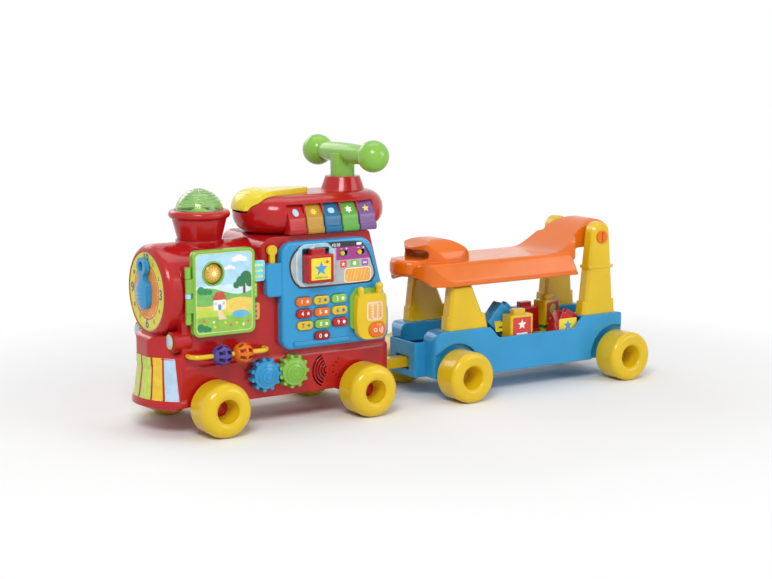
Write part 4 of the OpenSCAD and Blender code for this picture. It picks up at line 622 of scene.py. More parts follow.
def nose_panel(name, left, right, color):
    """A curved panel between two angles at its foot; its top is narrower."""
    made = bmesh.new()
    count = PANEL_STEPS
    layers = []
    for proud in (PANEL_FRONT, PANEL_REAR):
        grid = []
        for j in range(count + 1):
            share = j / count
            height = PANEL_FOOT + (PANEL_TOP - PANEL_FOOT) * share
            row = []
            for i in range(count + 1):
                angle = left + (right - left) * i / count
                angle *= 1.0 - PANEL_TAPER * share
                row.append(made.verts.new(on_nose(angle, height, proud)))
            grid.append(row)
        layers.append(grid)
    for grid in layers:
        for j in range(count):
            for i in range(count):
                made.faces.new((grid[j][i], grid[j][i + 1], grid[j + 1][i + 1], grid[j + 1][i]))
    front, rear = layers
    edge = ([(0, i) for i in range(count)] + [(j, count) for j in range(count)]
            + [(count, i) for i in range(count, 0, -1)] + [(j, 0) for j in range(count, 0, -1)])
    for (j, i), (next_j, next_i) in zip(edge, edge[1:] + edge[:1]):
        made.faces.new((front[j][i], front[next_j][next_i], rear[next_j][next_i], rear[j][i]))
    bmesh.ops.recalc_face_normals(made, faces=made.faces[:])
    add_piece(name, mesh_of(name, made), ink(color), "engine")


for side, word in SIDES:
    for look, left, right, color in NOSE_PANELS:
        nose_panel("nose_panel_%s_%s" % (look, word), side * left, side * right, color)


# Ribs for the fingers on the clock's hand and on the horn button

RIB_SINK = 0.2 * MM
RIB_STEPS = 16


def ribs(word, name, first, toward, look, count, pitch, half, radius):
    """Raised ribs along Y on the first faces met along toward, from the place first on."""
    faces = surface_of(name)
    side = Vector((0, half * MM, 0))
    for i in range(count):
        spot = first + pitch * i * MM
        starts = [(spot - side).lerp(spot + side, j / RIB_STEPS) for j in range(RIB_STEPS + 1)]
        hits = [faces.ray_cast(start, toward)[0] for start in starts]
        line = [hit + toward * RIB_SINK for hit in hits if hit is not None]
        raised_line("%s_rib_%d" % (word, i), line, radius, plastic[look], name)


hand_rib = dial + Vector((-50.0, 0, -2.0)) * MM
ribs("hand", "clock_hand", hand_rib, REARWARD, "blue", count=4, pitch=-UPWARD * 6.0, half=-6.5, radius=0.8)
horn_rib = Vector((low_of("horn_button").x + 14.0 * MM, 0, high_of("horn_button").z + 10.0 * MM))
ribs("horn", "horn_button", horn_rib, -UPWARD, "lemon", count=9, pitch=REARWARD * 3.6, half=17.0, radius=0.7)


# Headlights: pale lens with a lime rim

POD_Y, POD_Z, POD_FACE = 54.0, 141.0, -63.0
RIM_R, LIGHT_R = 11.2, 8.8
LIGHT = [(LIGHT_R, 0.0), (8.6, 0.5), (6.0, 1.3), (3.0, 1.7), (0, 1.8)]
for side, word in SIDES:
    pod = Vector((engine_x + POD_FACE * MM, side * POD_Y * MM, POD_Z * MM))
    sheet("headlight_rim_%s" % word, disc(0, 0, RIM_R), pod, FRONT, LIME, "engine",
          holes=[disc(0, 0, LIGHT_R)])
    turned("headlight_lens_%s" % word, LIGHT, pod, AHEAD, ink(PALE_BLUE), "engine")


# Book: a plain landscape with a round window for the lens

cover = middle("book_cover")
COVER_RECESS = 1.0
cover.y = low_of("book_cover").y + COVER_RECESS * MM
COVER_LEFT, COVER_RIGHT = -389.5, -288.5
cover.x = (COVER_LEFT + COVER_RIGHT) / 2 * MM
lens = middle("book_lens")
lens_u = (lens.x - cover.x) / MM
lens_v = (lens.z - cover.z) / MM
LENS_HOLE_R = 18.6
PICTURE_W, PICTURE_H, PICTURE_ROUND = 92.6, 118.0, 6
LINE_W, LINE_ROUND = 2.4, 5
half_w, half_h = PICTURE_W / 2, PICTURE_H / 2
# Share of a layer between prints that overlap
OVERLAP = 0.4


def picture(kind, outline, layer, holes=(), number=None, color=None):
    """A shape of the picture, kept inside its frame. A kind with several shapes numbers them."""
    kept = [(max(-half_w, min(half_w, u)), max(-half_h, min(half_h, v))) for u, v in outline]
    name = "book_" + kind
    look = color or PRINT[name]
    if number is not None:
        name += "_%d" % number
    sheet(name, kept, cover, NEAR_SIDE, look, "book_cover", layer=layer, holes=holes)


def cluster(kind, spots, layer, squash=1.0):
    """Overlapping discs: middle and radius of each."""
    for i, (u, v, r) in enumerate(spots):
        picture(kind, disc(u, v, r, 24, squash), layer + OVERLAP * i, number=i)


picture_frame = rounded_box(0, 0, PICTURE_W, PICTURE_H, PICTURE_ROUND)
picture("sky", picture_frame, 0, [disc(lens_u, lens_v, LENS_HOLE_R)])
# Pale line round the picture: a painted highlight on the edge of the cover's frame
line_edge = rounded_box(0, 0, PICTURE_W - LINE_W, PICTURE_H - LINE_W, LINE_ROUND)
picture("edge_line", picture_frame, 8, [line_edge])
picture("haze", rounded_box(0, 2, PICTURE_W, 18, 0.5), 1)
picture("far_hill", hill(-half_w, half_w, -30, 2, 6), 2)
picture("field", hill(-half_w, half_w, -45, -14, -5), 3)
picture("meadow", hill(-half_w, half_w, -54, -27, 5), 4)
picture("front_bank", rounded_box(0, -half_h + 12, PICTURE_W, 24, 5), 5)
cluster("tree", [(28, 14, 8), (36, 20, 9), (42, 11, 6), (20, 9, 5)], 5)
picture("trunk", rounded_box(33, 3, 4, 14, 1), 4)
cluster("bush", [(-38, 5, 6), (-31, 3, 5), (-24, 2, 4)], 5)
picture("house", rounded_box(-8, -18, 20, 15, 0.6), 6)
picture("house_roof", [(-20, -10.6), (4, -10.6), (-2, 1), (-14, 1)], 7)
picture("house_door", rounded_box(-8, -21.5, 5, 8, 0.6), 7)
for i, u in enumerate((-14.5, -1.5)):
    picture("house_window", rounded_box(u, -16, 4, 4.5, 0.5), 7, number=i)
picture("path", [(-10.5, -25.5), (-5.5, -25.5), (4, -40), (-10, -40)], 6)
picture("pond", disc(26, -34, 14, 32, 0.42), 6)
PICTURE_FLOWERS = [(-34, -40), (-16, -50), (-18, -43), (10, -49), (20, -47), (31, -50), (39, -46), (1, -45)]
PETALS = [(0.80, 0.05, 0.05), (0.84, 0.66, 0.05), WHITE]
for i, (u, v) in enumerate(PICTURE_FLOWERS):
    picture("flower", star(u, v, 2.6, 6, 0.55), 7, number=i, color=PETALS[i % len(PETALS)])
CLOUDS = [(18, 47, 5), (25, 49, 6.5), (33, 47, 5), (3, 35, 3.4), (9, 36.5, 4.4), (15, 35, 3.4)]
cluster("cloud", CLOUDS, 2, 0.75)
cluster("grove", [(-39, -50, 6), (-31, -52, 5), (-25, -53, 3.5)], 6)

# Painted glow in the book's lens: a starburst of lit facets and a pale middle, printed on its curved face
lens_faces = surface_of("book_lens")
lens_front = Vector((lens.x, low_of("book_lens").y, lens.z))


def lens_depth(u, v):
    hit = lens_faces.ray_cast(lens_front + Vector((u * MM, -OUTSIDE, v * MM)), FARWARD)[0]
    return (hit.y - lens_front.y) / MM


sheet("lens_rays", star(0, 0, 11.5, 12, 0.5), lens_front, NEAR_SIDE, PRINT["lens_rays"], "engine",
      surface=lens_depth, cut=3)
sheet("lens_glow", star(0, 0, 5.0, 8, 0.6), lens_front, NEAR_SIDE, PRINT["lens_glow"], "engine", layer=2,
      surface=lens_depth, cut=3)

# Plain prints on the book's inner faces, clear of the lens and its holes
INSIDE_Y = -70.8
PAGE_FRONT_Y = -70.4
PAGE_BACK_Y = -68.4
BACK_Y = -68.0
LEAF_EDGE = 2
FLOWER_SPOTS = [(-30, -42, 9), (-4, -28, 12), (28, -40, 10), (34, 2, 8), (-34, 4, 9), (-12, 24, 8)]
FLOWER_COLORS = [(0.80, 0.10, 0.10), SAND, (0.30, 0.12, 0.44)]


def ground(height, sway):
    return hill(-half_w + LEAF_EDGE, half_w - LEAF_EDGE, -half_h + LEAF_EDGE, height, sway)


def flower(u, v, radius, number):
    return star(u, v, radius, 6, 0.6), FLOWER_COLORS[number % 3]


flowers = [flower(u, v, r, i) for i, (u, v, r) in enumerate(FLOWER_SPOTS)]
balloons = [(disc(u, v, r, 32, 1.2), FLOWER_COLORS[(i + 1) % 3]) for i, (u, v, r) in enumerate(FLOWER_SPOTS)]
boat = [
    (ground(-30, 4), PRINT["sea"]),
    ([(-13, -12), (-5, -23), (23, -23), (31, -12)], BRICK),
    ([(7, -10), (7, 20), (-11, -10)], WHITE),
    ([(11, -10), (11, 15), (27, -10)], SAND),
    (star(28, 36, 12, 12, 0.7), PRINT["sun"]),
]
garden = [(ground(-52, 3), PRINT["garden"])]
garden += [flower(-u, v, r, i) for i, (u, v, r) in enumerate(FLOWER_SPOTS[3:])]
LEAVES = [
    ("inside", "book_cover", INSIDE_Y, FAR_SIDE, flowers),
    ("page_front", "book_page", PAGE_FRONT_Y, NEAR_SIDE, boat),
    ("page_back", "book_page", PAGE_BACK_Y, FAR_SIDE, balloons),
    ("back", "engine", BACK_Y, NEAR_SIDE, garden),
]
for name, body, y, plane, shapes in LEAVES:
    spot = Vector((cover.x, y * MM, cover.z))
    for i, (outline, color) in enumerate(shapes):
        sheet("leaf_%s_%d" % (name, i), outline, spot, plane, color, body)

# Index tabs of the book's boards: body, depth, height, reach, length, colour and the marks' colour
TABS = [
    ("back_tab_green", "engine", BACK_Y, 208.0, 6.5, 22.0, (0.30, 0.60, 0.12), (0.86, 0.74, 0.10)),
    ("back_tab_orange", "engine", BACK_Y, 176.0, 10.0, 24.0, (0.84, 0.32, 0.04), (0.30, 0.05, 0.30)),
    ("page_tab_cyan", "book_page", PAGE_FRONT_Y, 236.5, 18.0, 28.0, CYAN, (0.80, 0.80, 0.14)),
]
TAB_GAP = 0.6
TAB_ROWS = 3
MARK_SPACE, MARK_PITCH = 6, 5.4
for name, body, y, z, reach, tall, base, mark in TABS:
    spot = Vector((COVER_RIGHT * MM, y * MM, z * MM))
    sheet(name, rounded_box(reach / 2 + TAB_GAP, 0, reach, tall, 2.5), spot, NEAR_SIDE, base, body)
    columns = int(reach // MARK_SPACE)
    for row in range(TAB_ROWS):
        for column in range(columns):
            u = TAB_GAP + reach / 2 + (column - (columns - 1) / 2) * MARK_PITCH
            v = (row - 1) * tall / 3.3
            shape = rounded_box(u, v, 3.6, 3.6, 0.8) if body == "book_page" else disc(u, v, 2.0, 20)
            sheet("%s_mark_%d_%d" % (name, row, column), shape, spot, NEAR_SIDE, mark, body, layer=1)


# Phone panel: screen print round the reader, the switches and a plain picture

# How far a key stands out of the panel's face
KEY_PROUD = 3.5
panel_face = Vector((engine_x, low_of("keypad_1").y + KEY_PROUD * MM, 0))
SCREEN = [(153, 204.5), (256, 204.5), (271, 208.5), (276, 218), (272, 233), (266, 250), (255, 265),
          (238, 271), (155, 271), (136, 265), (126, 251), (124, 236), (129, 219), (138, 208.5)]
BEZEL = 3.0


def smooth_loop(points, steps=6):
    """Closed Catmull-Rom curve through points."""
    made = []
    count = len(points)
    for i in range(count):
        p0, p1, p2, p3 = (Vector(points[(i + k - 1) % count]) for k in range(4))
        for j in range(steps):
            t = j / steps
            q = 0.5 * ((2 * p1) + (p2 - p0) * t + (2 * p0 - 5 * p1 + 4 * p2 - p3) * t * t
                       + (3 * p1 - p0 - 3 * p2 + p3) * t ** 3)
            made.append((q.x, q.y))
    return made


def shrunk(points, by):
    """The loop pulled towards its middle by some millimetres at its farthest points."""
    mid_u = sum(p[0] for p in points) / len(points)
    mid_v = sum(p[1] for p in points) / len(points)
    wide = max(abs(p[0] - mid_u) for p in points)
    tall = max(abs(p[1] - mid_v) for p in points)
    return [(mid_u + (u - mid_u) * (1 - by / wide), mid_v + (v - mid_v) * (1 - by / tall)) for u, v in points]


def clip_band(points, low, high):
    """The part of a loop between two heights, by clamping."""
    return [(u, max(low, min(high, v))) for u, v in points]


def on_panel(name, outline, color, layer=0, holes=()):
    sheet("screen_" + name, outline, panel_face, NEAR_SIDE, color, "engine", layer=layer, holes=holes)


reader = middle("reader_block")
reader_u = (reader.x - engine_x) / MM
READER_V, READER_W, READER_H = 239.0, 47.6, 52.6
reader_hole = rounded_box(reader_u, READER_V, READER_W, READER_H, 3)
SWITCHES = ("power_switch", "mode_switch")
# A switch rests this far left of its slot's middle
SWITCH_REST = 3.5
switch_us = [(middle(name).x - engine_x) / MM + SWITCH_REST for name in SWITCHES]
switch_holes = [rounded_box(u, middle(name).z / MM, 16.0, 9.0, 4.2) for u, name in zip(switch_us, SWITCHES)]
screen_edge = smooth_loop(SCREEN)
screen = shrunk(screen_edge, BEZEL)
on_panel("bezel", screen_edge, BLACK, 0, [reader_hole] + switch_holes)
on_panel("ground", screen, GREY, 1, [reader_hole] + switch_holes)

# Window round the reader
window_u, window_v = reader_u - 0.5, READER_V + 0.5
on_panel("window_line", rounded_box(window_u, window_v, 66.0, 63.5, 17), WHITE, 2, [reader_hole])
on_panel("window", rounded_box(window_u, window_v, 64.0, 62.0, 16), PRINT["screen_window"], 3, [reader_hole])

# Bands left and right of the reader, and a status bar above
BAND_FOOT, BAND_TOP, SCREEN_TOP = 243.0, 262.5, 280.0
RIGHT_BAND, LEFT_BAND = 36.0, -34.5
right_part = [(max(reader_u + RIGHT_BAND, u), v) for u, v in screen]
left_part = [(min(reader_u + LEFT_BAND, u), v) for u, v in screen]
on_panel("band", clip_band(right_part, BAND_FOOT, BAND_TOP), MAGENTA, 2, switch_holes)
on_panel("left_band", clip_band(left_part, BAND_FOOT, BAND_TOP), PRINT["screen_left_band"], 2)
on_panel("status_bar", clip_band(screen, BAND_TOP, SCREEN_TOP), BLACK, 2)
STATUS_V = 266.3
CLOCK_U, SIGNAL_U, BATTERY_U = 205, 160, 246
clock_spot = panel_face + Vector((CLOCK_U * MM, 0, STATUS_V * MM))
numeral("screen_clock", "10:10", 7.0, clock_spot, NEAR_SIDE, WHITE, "engine", 6)
for i in range(4):
    bar = rounded_box(SIGNAL_U + 2.2 * i, 264.4 + 0.6 * i, 1.4, 1.6 + 1.2 * i, 0.2)
    on_panel("signal_%d" % i, bar, WHITE, 4)
on_panel("battery", rounded_box(BATTERY_U, STATUS_V, 8.0, 4.2, 0.8), WHITE, 4)
on_panel("battery_tip", rounded_box(BATTERY_U + 4.6, STATUS_V, 1.2, 2.0, 0.3), WHITE, 4)

# Minus and plus above the switches
SIGN_V, SIGN_OFF = 260.0, 4.5
SIGN_LONG, SIGN_WIDE = 3.4, 0.9
SIGNS = [("low", -SIGN_OFF, SIGN_LONG, SIGN_WIDE, 4), ("high", SIGN_OFF, SIGN_LONG, SIGN_WIDE, 4),
         ("mark", SIGN_OFF, SIGN_WIDE, SIGN_LONG, 5)]
for i, u in enumerate(switch_us):
    for word, off, wide, tall, layer in SIGNS:
        on_panel("switch_%s_%d" % (word, i), rounded_box(u + off, SIGN_V, wide, tall, 0.2), WHITE, layer)

# Icons under the switches: place, width and colour
ICON_V, ICON_H = 236.5, 10.5
ICONS = [(218.5, 12, (0.72, 0.06, 0.03)), (238.5, 17, GRASS), (257.0, 12, (0.34, 0.10, 0.42))]
for i, (u, wide, color) in enumerate(ICONS):
    on_panel("icon_%d" % i, rounded_box(u, ICON_V, wide, ICON_H, 2.6), color, 3)
    mark = [star(u, ICON_V, 3.6), disc(u, ICON_V, 3.2, 24), rounded_box(u, ICON_V, 6.5, 2.0, 0.6)][i]
    on_panel("icon_mark_%d" % i, mark, WHITE, 4)

# Striped field, and dots in the free places
MAP_U, MAP_V = 244.0, 218.5
on_panel("map_line", rounded_box(MAP_U, MAP_V, 48, 22.5, 6), PRINT["screen_map_line"], 2)
on_panel("map", rounded_box(MAP_U, MAP_V, 45.5, 20.0, 5), PRINT["screen_map"], 3)
STROKE_FOOT, STROKE_TOP = MAP_V - 8.0, MAP_V + 8.0
for i in range(7):
    u = MAP_U + 6.0 * (i - 3)
    stroke = [(u - 3, STROKE_FOOT), (u - 1.8, STROKE_FOOT), (u + 3, STROKE_TOP), (u + 1.8, STROKE_TOP)]
    on_panel("map_stroke_%d" % i, stroke, PRINT["screen_map_stroke"], 4)
DOT_COLORS = [SKY, PINK, LIME, (0.55, 0.6, 0.6)]
for i in range(40):
    u = 130 + (i * 37) % 150
    v = 209 + (i * 23) % 32
    left_of_reader = u < reader_u - 34 and v > 222
    if left_of_reader or 206 < u < 218:
        on_panel("dot_%02d" % i, rounded_box(u, v, 3.0, 2.2, 0.3), DOT_COLORS[i % 4], 2)


# Keypad figures with a small plain mark

FIGURE, FIGURE_U, MARK_U = 9.0, -4.0, 6.0
KEY_SIGNS = [disc(MARK_U, 0, 2.6, 24), star(MARK_U, 0, 3.2), rounded_box(MARK_U, 0, 4.6, 4.6, 1.2)]
DARK_FIGURES = (2, 6, 7)
for key in range(10):
    name = "keypad_%d" % key
    at = middle(name)
    at.y = low_of(name).y
    color = DEEP_BLUE if key in DARK_FIGURES else WHITE
    numeral("key_figure_%d" % key, str(key), FIGURE, at + Vector((FIGURE_U * MM, 0, 0)), NEAR_SIDE, color,
            name, 2)
    sheet("key_mark_%d" % key, KEY_SIGNS[key % 3], at, NEAR_SIDE, color, name, layer=2)


# Block in the reader: yellow film with a star, a dot and a bar

reader_face = low_of("reader_block")
reader_face.x = reader.x
FILM_V = 21.5
READER_PRINTS = [
    ("film", rounded_box(0, FILM_V, 34, 33, 1.5), PRINT["reader_film"], 0),
    ("star", star(0, FILM_V, 11.5), PRINT["reader_star"], 1),
    ("dot", disc(10.5, FILM_V + 10, 2.6, 24), PRINT["reader_dot"], 1),
    ("bar", rounded_box(0, FILM_V - 13, 22, 2.2, 0.8), GRASS, 1),
]
for word, outline, color, layer in READER_PRINTS:
    sheet("reader_" + word, outline, reader_face, NEAR_SIDE, color, "reader_block", layer=layer)


# Handset: pale display on the curved front, sound waves on the button

HANDSET_BEND = 60.0
handset_front = Vector((engine_x + 261.5 * MM, -99.15 * MM, 120.0 * MM))


def handset_depth(u, v):
    return HANDSET_BEND - math.sqrt(HANDSET_BEND ** 2 - u * u)


sheet("handset_display", rounded_box(2, 43, 29, 29, 5), handset_front, NEAR_SIDE, PRINT["handset_display"],
      "handset", surface=handset_depth, cut=2)
DOT_LEFT, DOT_FOOT, DOT_PITCH, DOT_ROWS = -8.6, 32.6, 4.2, 6
for row in range(DOT_ROWS):
    radius = 0.8 + 0.1 * (DOT_ROWS - 1 - row)
    for column in range(DOT_ROWS):
        dot = disc(DOT_LEFT + DOT_PITCH * column, DOT_FOOT + DOT_PITCH * row, radius, 12)
        sheet("handset_dot_%d_%d" % (row, column), dot, handset_front, NEAR_SIDE, PRINT["handset_dot"],
              "handset", layer=1, surface=handset_depth)
BUTTON_BALL = 32.0
SIGN_R = 0.55
# How far the middle of a raised line stands out of a domed face
LINE_PROUD = 0.1
button_top = Vector((engine_x + 267.0 * MM, -103.15 * MM, 134.0 * MM))


def on_button(u, v):
    drop = BUTTON_BALL - math.sqrt(BUTTON_BALL ** 2 - u * u - v * v)
    return button_top + Vector((u * MM, (drop - LINE_PROUD) * MM, v * MM))


def button_arc(middle_u, reach, squash, degrees):
    turns = [math.radians(a) for a in degrees]
    return [on_button(middle_u + reach * math.cos(a), reach * math.sin(a) * squash) for a in turns]


for i, reach in enumerate((4.0, 7.0, 10.0)):
    raised_line("button_wave_%d" % i, button_arc(-2, reach, 0.8, range(-42, 43, 6)), SIGN_R, ink(WHITE),
                "handset_button")
raised_line("button_ring", button_arc(-5.5, 2.4, 1.0, range(0, 360, 15)), SIGN_R, ink(WHITE),
            "handset_button", closed=True)


# Piano keys: a small plain mark on each sloping face

KEY_FOOT = 285.3
# Depth and height of the slope's two ends, and how high on it the marks sit
KEY_KNEE = (-69.5, 24.0)
KEY_TOP = (-56.0, 44.0)
UP_THE_SLOPE = 8.5
key_slope = (KEY_TOP[0] - KEY_KNEE[0]) / (KEY_TOP[1] - KEY_KNEE[1])
slope = (REARWARD, Vector((0, key_slope, 1)).normalized())
mark_y = KEY_KNEE[0] + key_slope * UP_THE_SLOPE
mark_z = KEY_FOOT + KEY_KNEE[1] + UP_THE_SLOPE
KEY_MARKS = {
    "red": (disc(0, 0, 5.0, 30, 1.25), SKY),
    "amber": (star(0, 0, 6.5, 8, 0.55), (0.88, 0.62, 0.05)),
    "blue": (rounded_box(0, 0, 11, 9, 3.5), SKY),
    "green": (star(0, 0, 6.5, 6, 0.62), (0.80, 0.86, 0.72)),
    "purple": (star(0, 0, 6.5), (0.86, 0.72, 0.12)),
}
for word, (outline, color) in KEY_MARKS.items():
    name = "piano_key_" + word
    spot = Vector((middle(name).x, mark_y * MM, mark_z * MM))
    sheet("piano_mark_" + word, outline, spot, slope, color, name)


# Gears: a raised spiral on each dome

GEAR_DOME = 34.0
SPIRAL_IN, SPIRAL_OUT, SPIRAL_TURNS, SPIRAL_R = 2.0, 15.0, 2.6, 0.8
SPIRAL_STEPS = 109
for look in ("blue", "green"):
    name = "gear_" + look
    hub = middle(name)
    hub.y = low_of(name).y
    turns = []
    for i in range(SPIRAL_STEPS + 1):
        share = i / SPIRAL_STEPS
        reach = SPIRAL_IN + (SPIRAL_OUT - SPIRAL_IN) * share
        angle = 2 * math.pi * SPIRAL_TURNS * share
        drop = GEAR_DOME - math.sqrt(GEAR_DOME ** 2 - reach ** 2)
        across, along = reach * math.cos(angle), reach * math.sin(angle)
        turns.append(hub + MM * Vector((across, drop - LINE_PROUD, along)))
    raised_line("gear_spiral_" + look, turns, SPIRAL_R, plastic[look], name)


# Wheels: a turned cap on the floor of each hub recess

HUB_DEPTH = 30.0
CAP = [(0, 3.4), (3.0, 3.2), (6.5, 2.2), (9.0, 1.0), (10.0, 0.6), (11.2, 0.9), (12.3, 0.5), (12.6, -0.2)]
# The wagon's caps are amber, darker than its yellow wheels: painted shade on the floor of the hub recess
CAP_LOOKS = {"engine_front": "red", "engine_rear": "red", "wagon_front": "amber", "wagon_rear": "amber"}
for word, look in CAP_LOOKS.items():
    name = word + "_wheels"
    hub = middle(name)
    for side, place in SIDES:
        face = (low_of(name) if side < 0 else high_of(name)).y
        spot = Vector((hub.x, face - side * HUB_DEPTH * MM, hub.z))
        turned("hub_cap_%s_%s" % (word, place), CAP, spot, Vector((0, side, 0)), plastic[look],
               word + "_wheelset")


# Chimney: a pale reflector and a lamp under the clear dome

REFLECTOR = [(29.5, -0.6), (29.5, 0.4), (22, 1.6), (12, 4.0), (9, 7.0), (8, 7.4), (0, 7.4)]
LAMP = [(4.5, 7.2), (5.0, 10), (4.6, 14), (3.0, 17), (0, 18.2)]
dome_foot = middle("chimney_lens")
dome_foot.z = low_of("chimney_lens").z
turned("chimney_reflector", REFLECTOR, dome_foot, UPWARD, ink(PRINT["reflector"]), "engine")
turned("chimney_lamp", LAMP, dome_foot, UPWARD, ink(PRINT["lamp"]), "engine")


# Body: a bead along each shoulder of the boiler, and screws in the far wall

SHOULDER_Y, SHOULDER_Z, BEAD_R = 59.3, 246.5, 4.2
# Places along the boiler with their rise
SHOULDER = [(-400, -4.0), (-397, -1.2), (-394, 0.0), (-335, 0.0), (-276, 0.0), (-268, -1.0)]
for side, word in SIDES:
    line = [MM * Vector((x, side * SHOULDER_Y, SHOULDER_Z + rise)) for x, rise in SHOULDER]
    raised_line("shoulder_bead_%s" % word, line, BEAD_R, plastic["red"], "engine")
FAR_WALL = 64.0
SCREWS = [(-374, 226), (-374, 122), (-250, 262), (-250, 122), (-112, 262), (-98, 122)]
BOSS = [(5.8, -0.3), (5.7, 0.6), (5.2, 1.0), (4.6, 1.0), (4.2, 0.6), (4.1, -0.3)]
HEAD = [(3.9, -0.4), (3.8, 0.0), (3.2, 0.4), (0, 0.6)]
CROSS_PROUD = 0.5
SCREW_STEPS = 28
# The black cross on each screw head is painted shade for the head's cross recess
CROSS = [(-0.5, -2.3), (0.5, -2.3), (0.5, -0.5), (2.3, -0.5), (2.3, 0.5), (0.5, 0.5), (0.5, 2.3), (-0.5, 2.3),
         (-0.5, 0.5), (-2.3, 0.5), (-2.3, -0.5), (-0.5, -0.5)]
for i, (x, z) in enumerate(SCREWS):
    spot = MM * Vector((x, FAR_WALL, z))
    turned("screw_boss_%d" % i, BOSS, spot, FARWARD, plastic["red"], "engine", SCREW_STEPS)
    turned("screw_head_%d" % i, HEAD, spot, FARWARD, steel, "engine", SCREW_STEPS)
    sheet("screw_cross_%d" % i, CROSS, spot + Vector((0, CROSS_PROUD * MM, 0)), FAR_SIDE, BLACK, "engine")


# Loose blocks: each block of the CAD node becomes its own piece with its own colour and film

SAME_PLACE = 0.01 * MM


def corner(part, pick):
    return Vector([pick(vert.co[k] for vert in part.verts) for k in range(3)])


def lowest_corner(part):
    return [round(c, 4) for c in corner(part, min)]


def islands(name):
    """The node's separate solids as bmeshes, in the order of their lowest corners along X, Y and Z."""
    whole = bmesh.new()
    whole.from_mesh(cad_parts[name].data)
    bmesh.ops.remove_doubles(whole, verts=whole.verts[:], dist=SAME_PLACE)
    left = set(whole.verts)
    pieces = []
    for seed in whole.verts:
        if seed not in left:
            continue
        left.discard(seed)
        group, waiting = [seed], [seed]
        while waiting:
            vert = waiting.pop()
            for edge in vert.link_edges:
                other = edge.other_vert(vert)
                if other in left:
                    left.discard(other)
                    group.append(other)
                    waiting.append(other)
        part = bmesh.new()
        twin = {vert: part.verts.new(vert.co) for vert in group}
        for face in whole.faces:
            if face.verts[0] in twin:
                part.faces.new([twin[vert] for vert in face.verts])
        pieces.append(part)
    whole.free()
    return sorted(pieces, key=lowest_corner)


LYING_LOOKS = ["green", "red", "blue", "yellow", "orange", "purple"]
# Blocks on top of the heap: middle, then body colour, film colour, motif colour and the film's side
TOP_BLOCKS = [
    ((216, -51, 104), "yellow", FILM_RED, WHITE, "near"),
    ((199, -24, 112), "blue", FILM_YELLOW, LEAF, "near"),
    ((313, -51, 93), "red", FILM_YELLOW, BLUE, "near"),
    ((270, 2, 104), "red", WHITE, BLUE, "front"),
    ((321, 5, 112), "yellow", FILM_RED, LIME, "near"),
]
NEAR_ENOUGH = 12 * MM
FACE_AREA = 500 * MM * MM
LEVEL = 0.2 * MM
# Direction in which each film looks, and its width
FILM_SIDES = {"near": (NEARWARD, 37.0), "front": (AHEAD, 18.0)}
FILM_H = 34


def film_side(part, toward):
    """Middle and normal of the part's flat side that looks most nearly toward."""
    sides = {}
    for face in part.faces:
        key = tuple(round(c, 2) for c in face.normal)
        sides.setdefault(key, []).append(face)
    best = None
    for faces in sides.values():
        normal = faces[0].normal.copy()
        outermost = max(face.verts[0].co.dot(normal) for face in faces)
        skin = [face for face in faces if outermost - face.verts[0].co.dot(normal) < LEVEL]
        area = sum(face.calc_area() for face in skin)
        if area > FACE_AREA and (best is None or normal.dot(toward) > best[0]):
            spot = sum((face.calc_center_median() * face.calc_area() for face in skin), Vector()) / area
            best = (normal.dot(toward), spot, normal)
    return best[1], best[2]


def add_film(number, part, centre, film_color, motif_color, side):
    """A film on the part's side, with a star or a disc and a bar on it."""
    toward, wide = FILM_SIDES[side]
    spot, out = film_side(part, toward)
    up = centre - spot
    up = (up - out * up.dot(out)).normalized()
    plane = (up.cross(out), up)
    reach = wide * 0.24
    motif = disc(0, 5, reach, 30) if number % 2 else star(0, 5, reach)
    bar = rounded_box(0, -10, wide * 0.6, 3, 1)
    sheet("block_film_%02d" % number, rounded_box(0, 0, wide, FILM_H, 2), spot, plane, film_color, "wagon")
    sheet("block_motif_%02d" % number, motif, spot, plane, motif_color, "wagon", layer=1)
    sheet("block_bar_%02d" % number, bar, spot, plane, motif_color, "wagon", layer=1)


for i, part in enumerate(islands("loose_blocks")):
    part.normal_update()
    bmesh.ops.recalc_face_normals(part, faces=part.faces[:])
    centre = (corner(part, min) + corner(part, max)) / 2
    look = LYING_LOOKS[i % len(LYING_LOOKS)]
    for spot, body_look, film_color, motif_color, side in TOP_BLOCKS:
        if (Vector(spot) * MM - centre).length < NEAR_ENOUGH:
            look = body_look
            add_film(i, part, centre, film_color, motif_color, side)
    for face in part.faces:
        face.smooth = True
    name = "loose_block_%02d" % i
    mesh = mesh_of(name, part)
    mesh.set_sharp_from_angle(angle=math.radians(30))
    piece = add_piece(name, mesh, plastic[look], "wagon")
    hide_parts("loose_blocks")


# Stage: pale floor, soft light and the photograph's camera

def area_light(name, spot, target, size, power):
    data = bpy.data.lights.new(name, "AREA")
    data.shape = "RECTANGLE"
    data.size, data.size_y = size
    data.energy = power
    light = bpy.data.objects.new(name, data)
    light.location = spot
    light.rotation_euler = (Vector(target) - Vector(spot)).to_track_quat("-Z", "Y").to_euler()
    scene.collection.objects.link(light)


REACH = 9.0
floor_corners = [(-REACH, -REACH, 0), (REACH, -REACH, 0), (REACH, REACH, 0), (-REACH, REACH, 0)]
floor_mesh = bpy.data.meshes.new("floor")
floor_mesh.from_pydata(floor_corners, [], [(0, 1, 2, 3)])
floor = bpy.data.objects.new("floor", floor_mesh)
scene.collection.objects.link(floor)
floor_material, floor_tree, floor_shader = new_tree("pale_floor")
floor_place = own_place(floor_tree)
floor_cloud = noise(floor_tree, floor_place, 3.0, 2.0)
floor_tint = mixed(floor_tree, floor_cloud, (0.85, 0.85, 0.85, 1), (0.88, 0.88, 0.88, 1))
floor_tree.links.new(floor_tint, floor_shader.inputs["Base Color"])
floor_shader.inputs["Roughness"].default_value = 0.8
floor_shader.inputs["Specular IOR Level"].default_value = 0.1
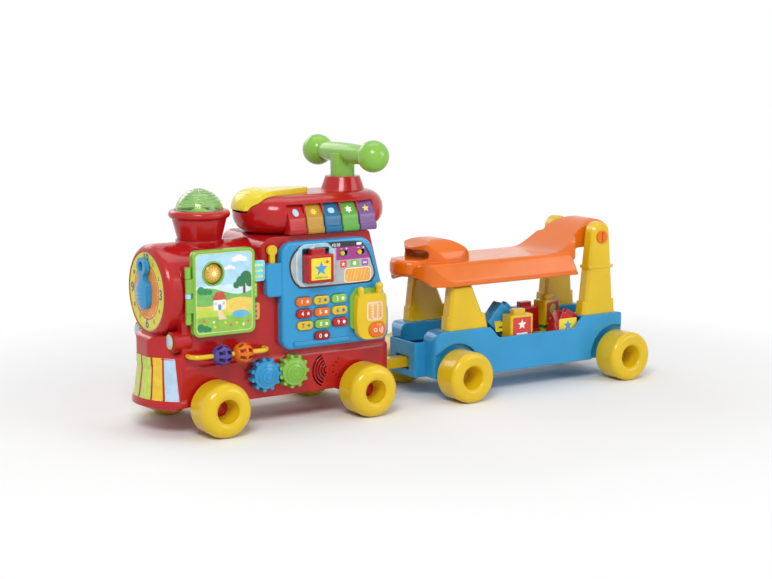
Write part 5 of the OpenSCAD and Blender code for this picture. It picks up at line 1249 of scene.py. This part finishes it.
# Away from the train, between these distances, the floor goes over into the white backdrop
FADE_FROM, FADE_TO = 0.50, 0.95
reach_of = floor_tree.nodes.new("ShaderNodeVectorMath")
reach_of.operation = "LENGTH"
floor_tree.links.new(floor_place, reach_of.inputs[0])
away = ranged(floor_tree, reach_of.outputs["Value"], FADE_FROM, FADE_TO, 0.0, 1.0)
both = floor_tree.nodes.new("ShaderNodeMath")
both.operation = "MULTIPLY"
floor_tree.links.new(away, both.inputs[0])
floor_tree.links.new(seen_rays(floor_tree), both.inputs[1])
white_sheet = node(floor_tree, "ShaderNodeEmission", Strength=1.0)
blend = node(floor_tree, "ShaderNodeMixShader", Fac=both.outputs[0])
floor_tree.links.new(floor_shader.outputs[0], blend.inputs[1])
floor_tree.links.new(white_sheet.outputs[0], blend.inputs[2])
floor_out = next(n for n in floor_tree.nodes if n.type == "OUTPUT_MATERIAL")
floor_tree.links.new(blend.outputs[0], floor_out.inputs["Surface"])
floor_mesh.materials.append(floor_material)

world = bpy.data.worlds.new("studio")
scene.world = world
world.use_nodes = True
sky_tree = world.node_tree
background = next(n for n in sky_tree.nodes if n.type == "BACKGROUND")
background.inputs["Color"].default_value = (1.0, 1.0, 1.0, 1.0)
AMBIENT = 0.42
strength = ranged(sky_tree, seen_rays(sky_tree), 0.0, 1.0, AMBIENT, 1.0)
sky_tree.links.new(strength, background.inputs["Strength"])

area_light("key", (-1.6, -1.9, 2.2), (-0.1, 0, 0.2), (1.2, 1.0), 52)
area_light("fill", (1.7, -2.2, 1.2), (0.1, 0, 0.2), (1.6, 1.4), 22)
area_light("top", (0.1, 0.3, 2.4), (0, 0, 0.2), (2.0, 1.2), 12)
area_light("rim", (-0.4, 2.2, 1.4), (0, 0, 0.25), (1.6, 0.9), 10)

CAMERA_AT = Vector((-1.515318, -2.331405, 0.616044))
CAMERA_LOOK = Vector((0.53593, 0.82960, -0.15663))
LENS_MM, SENSOR_MM = 81.875, 36.0
camera_data = bpy.data.cameras.new("camera")
camera_data.sensor_width = SENSOR_MM
camera_data.lens = LENS_MM
camera = bpy.data.objects.new("camera", camera_data)
camera.location = CAMERA_AT
camera.rotation_euler = CAMERA_LOOK.to_track_quat("-Z", "Y").to_euler()
scene.collection.objects.link(camera)
scene.camera = camera
scene.view_settings.view_transform = "Standard"
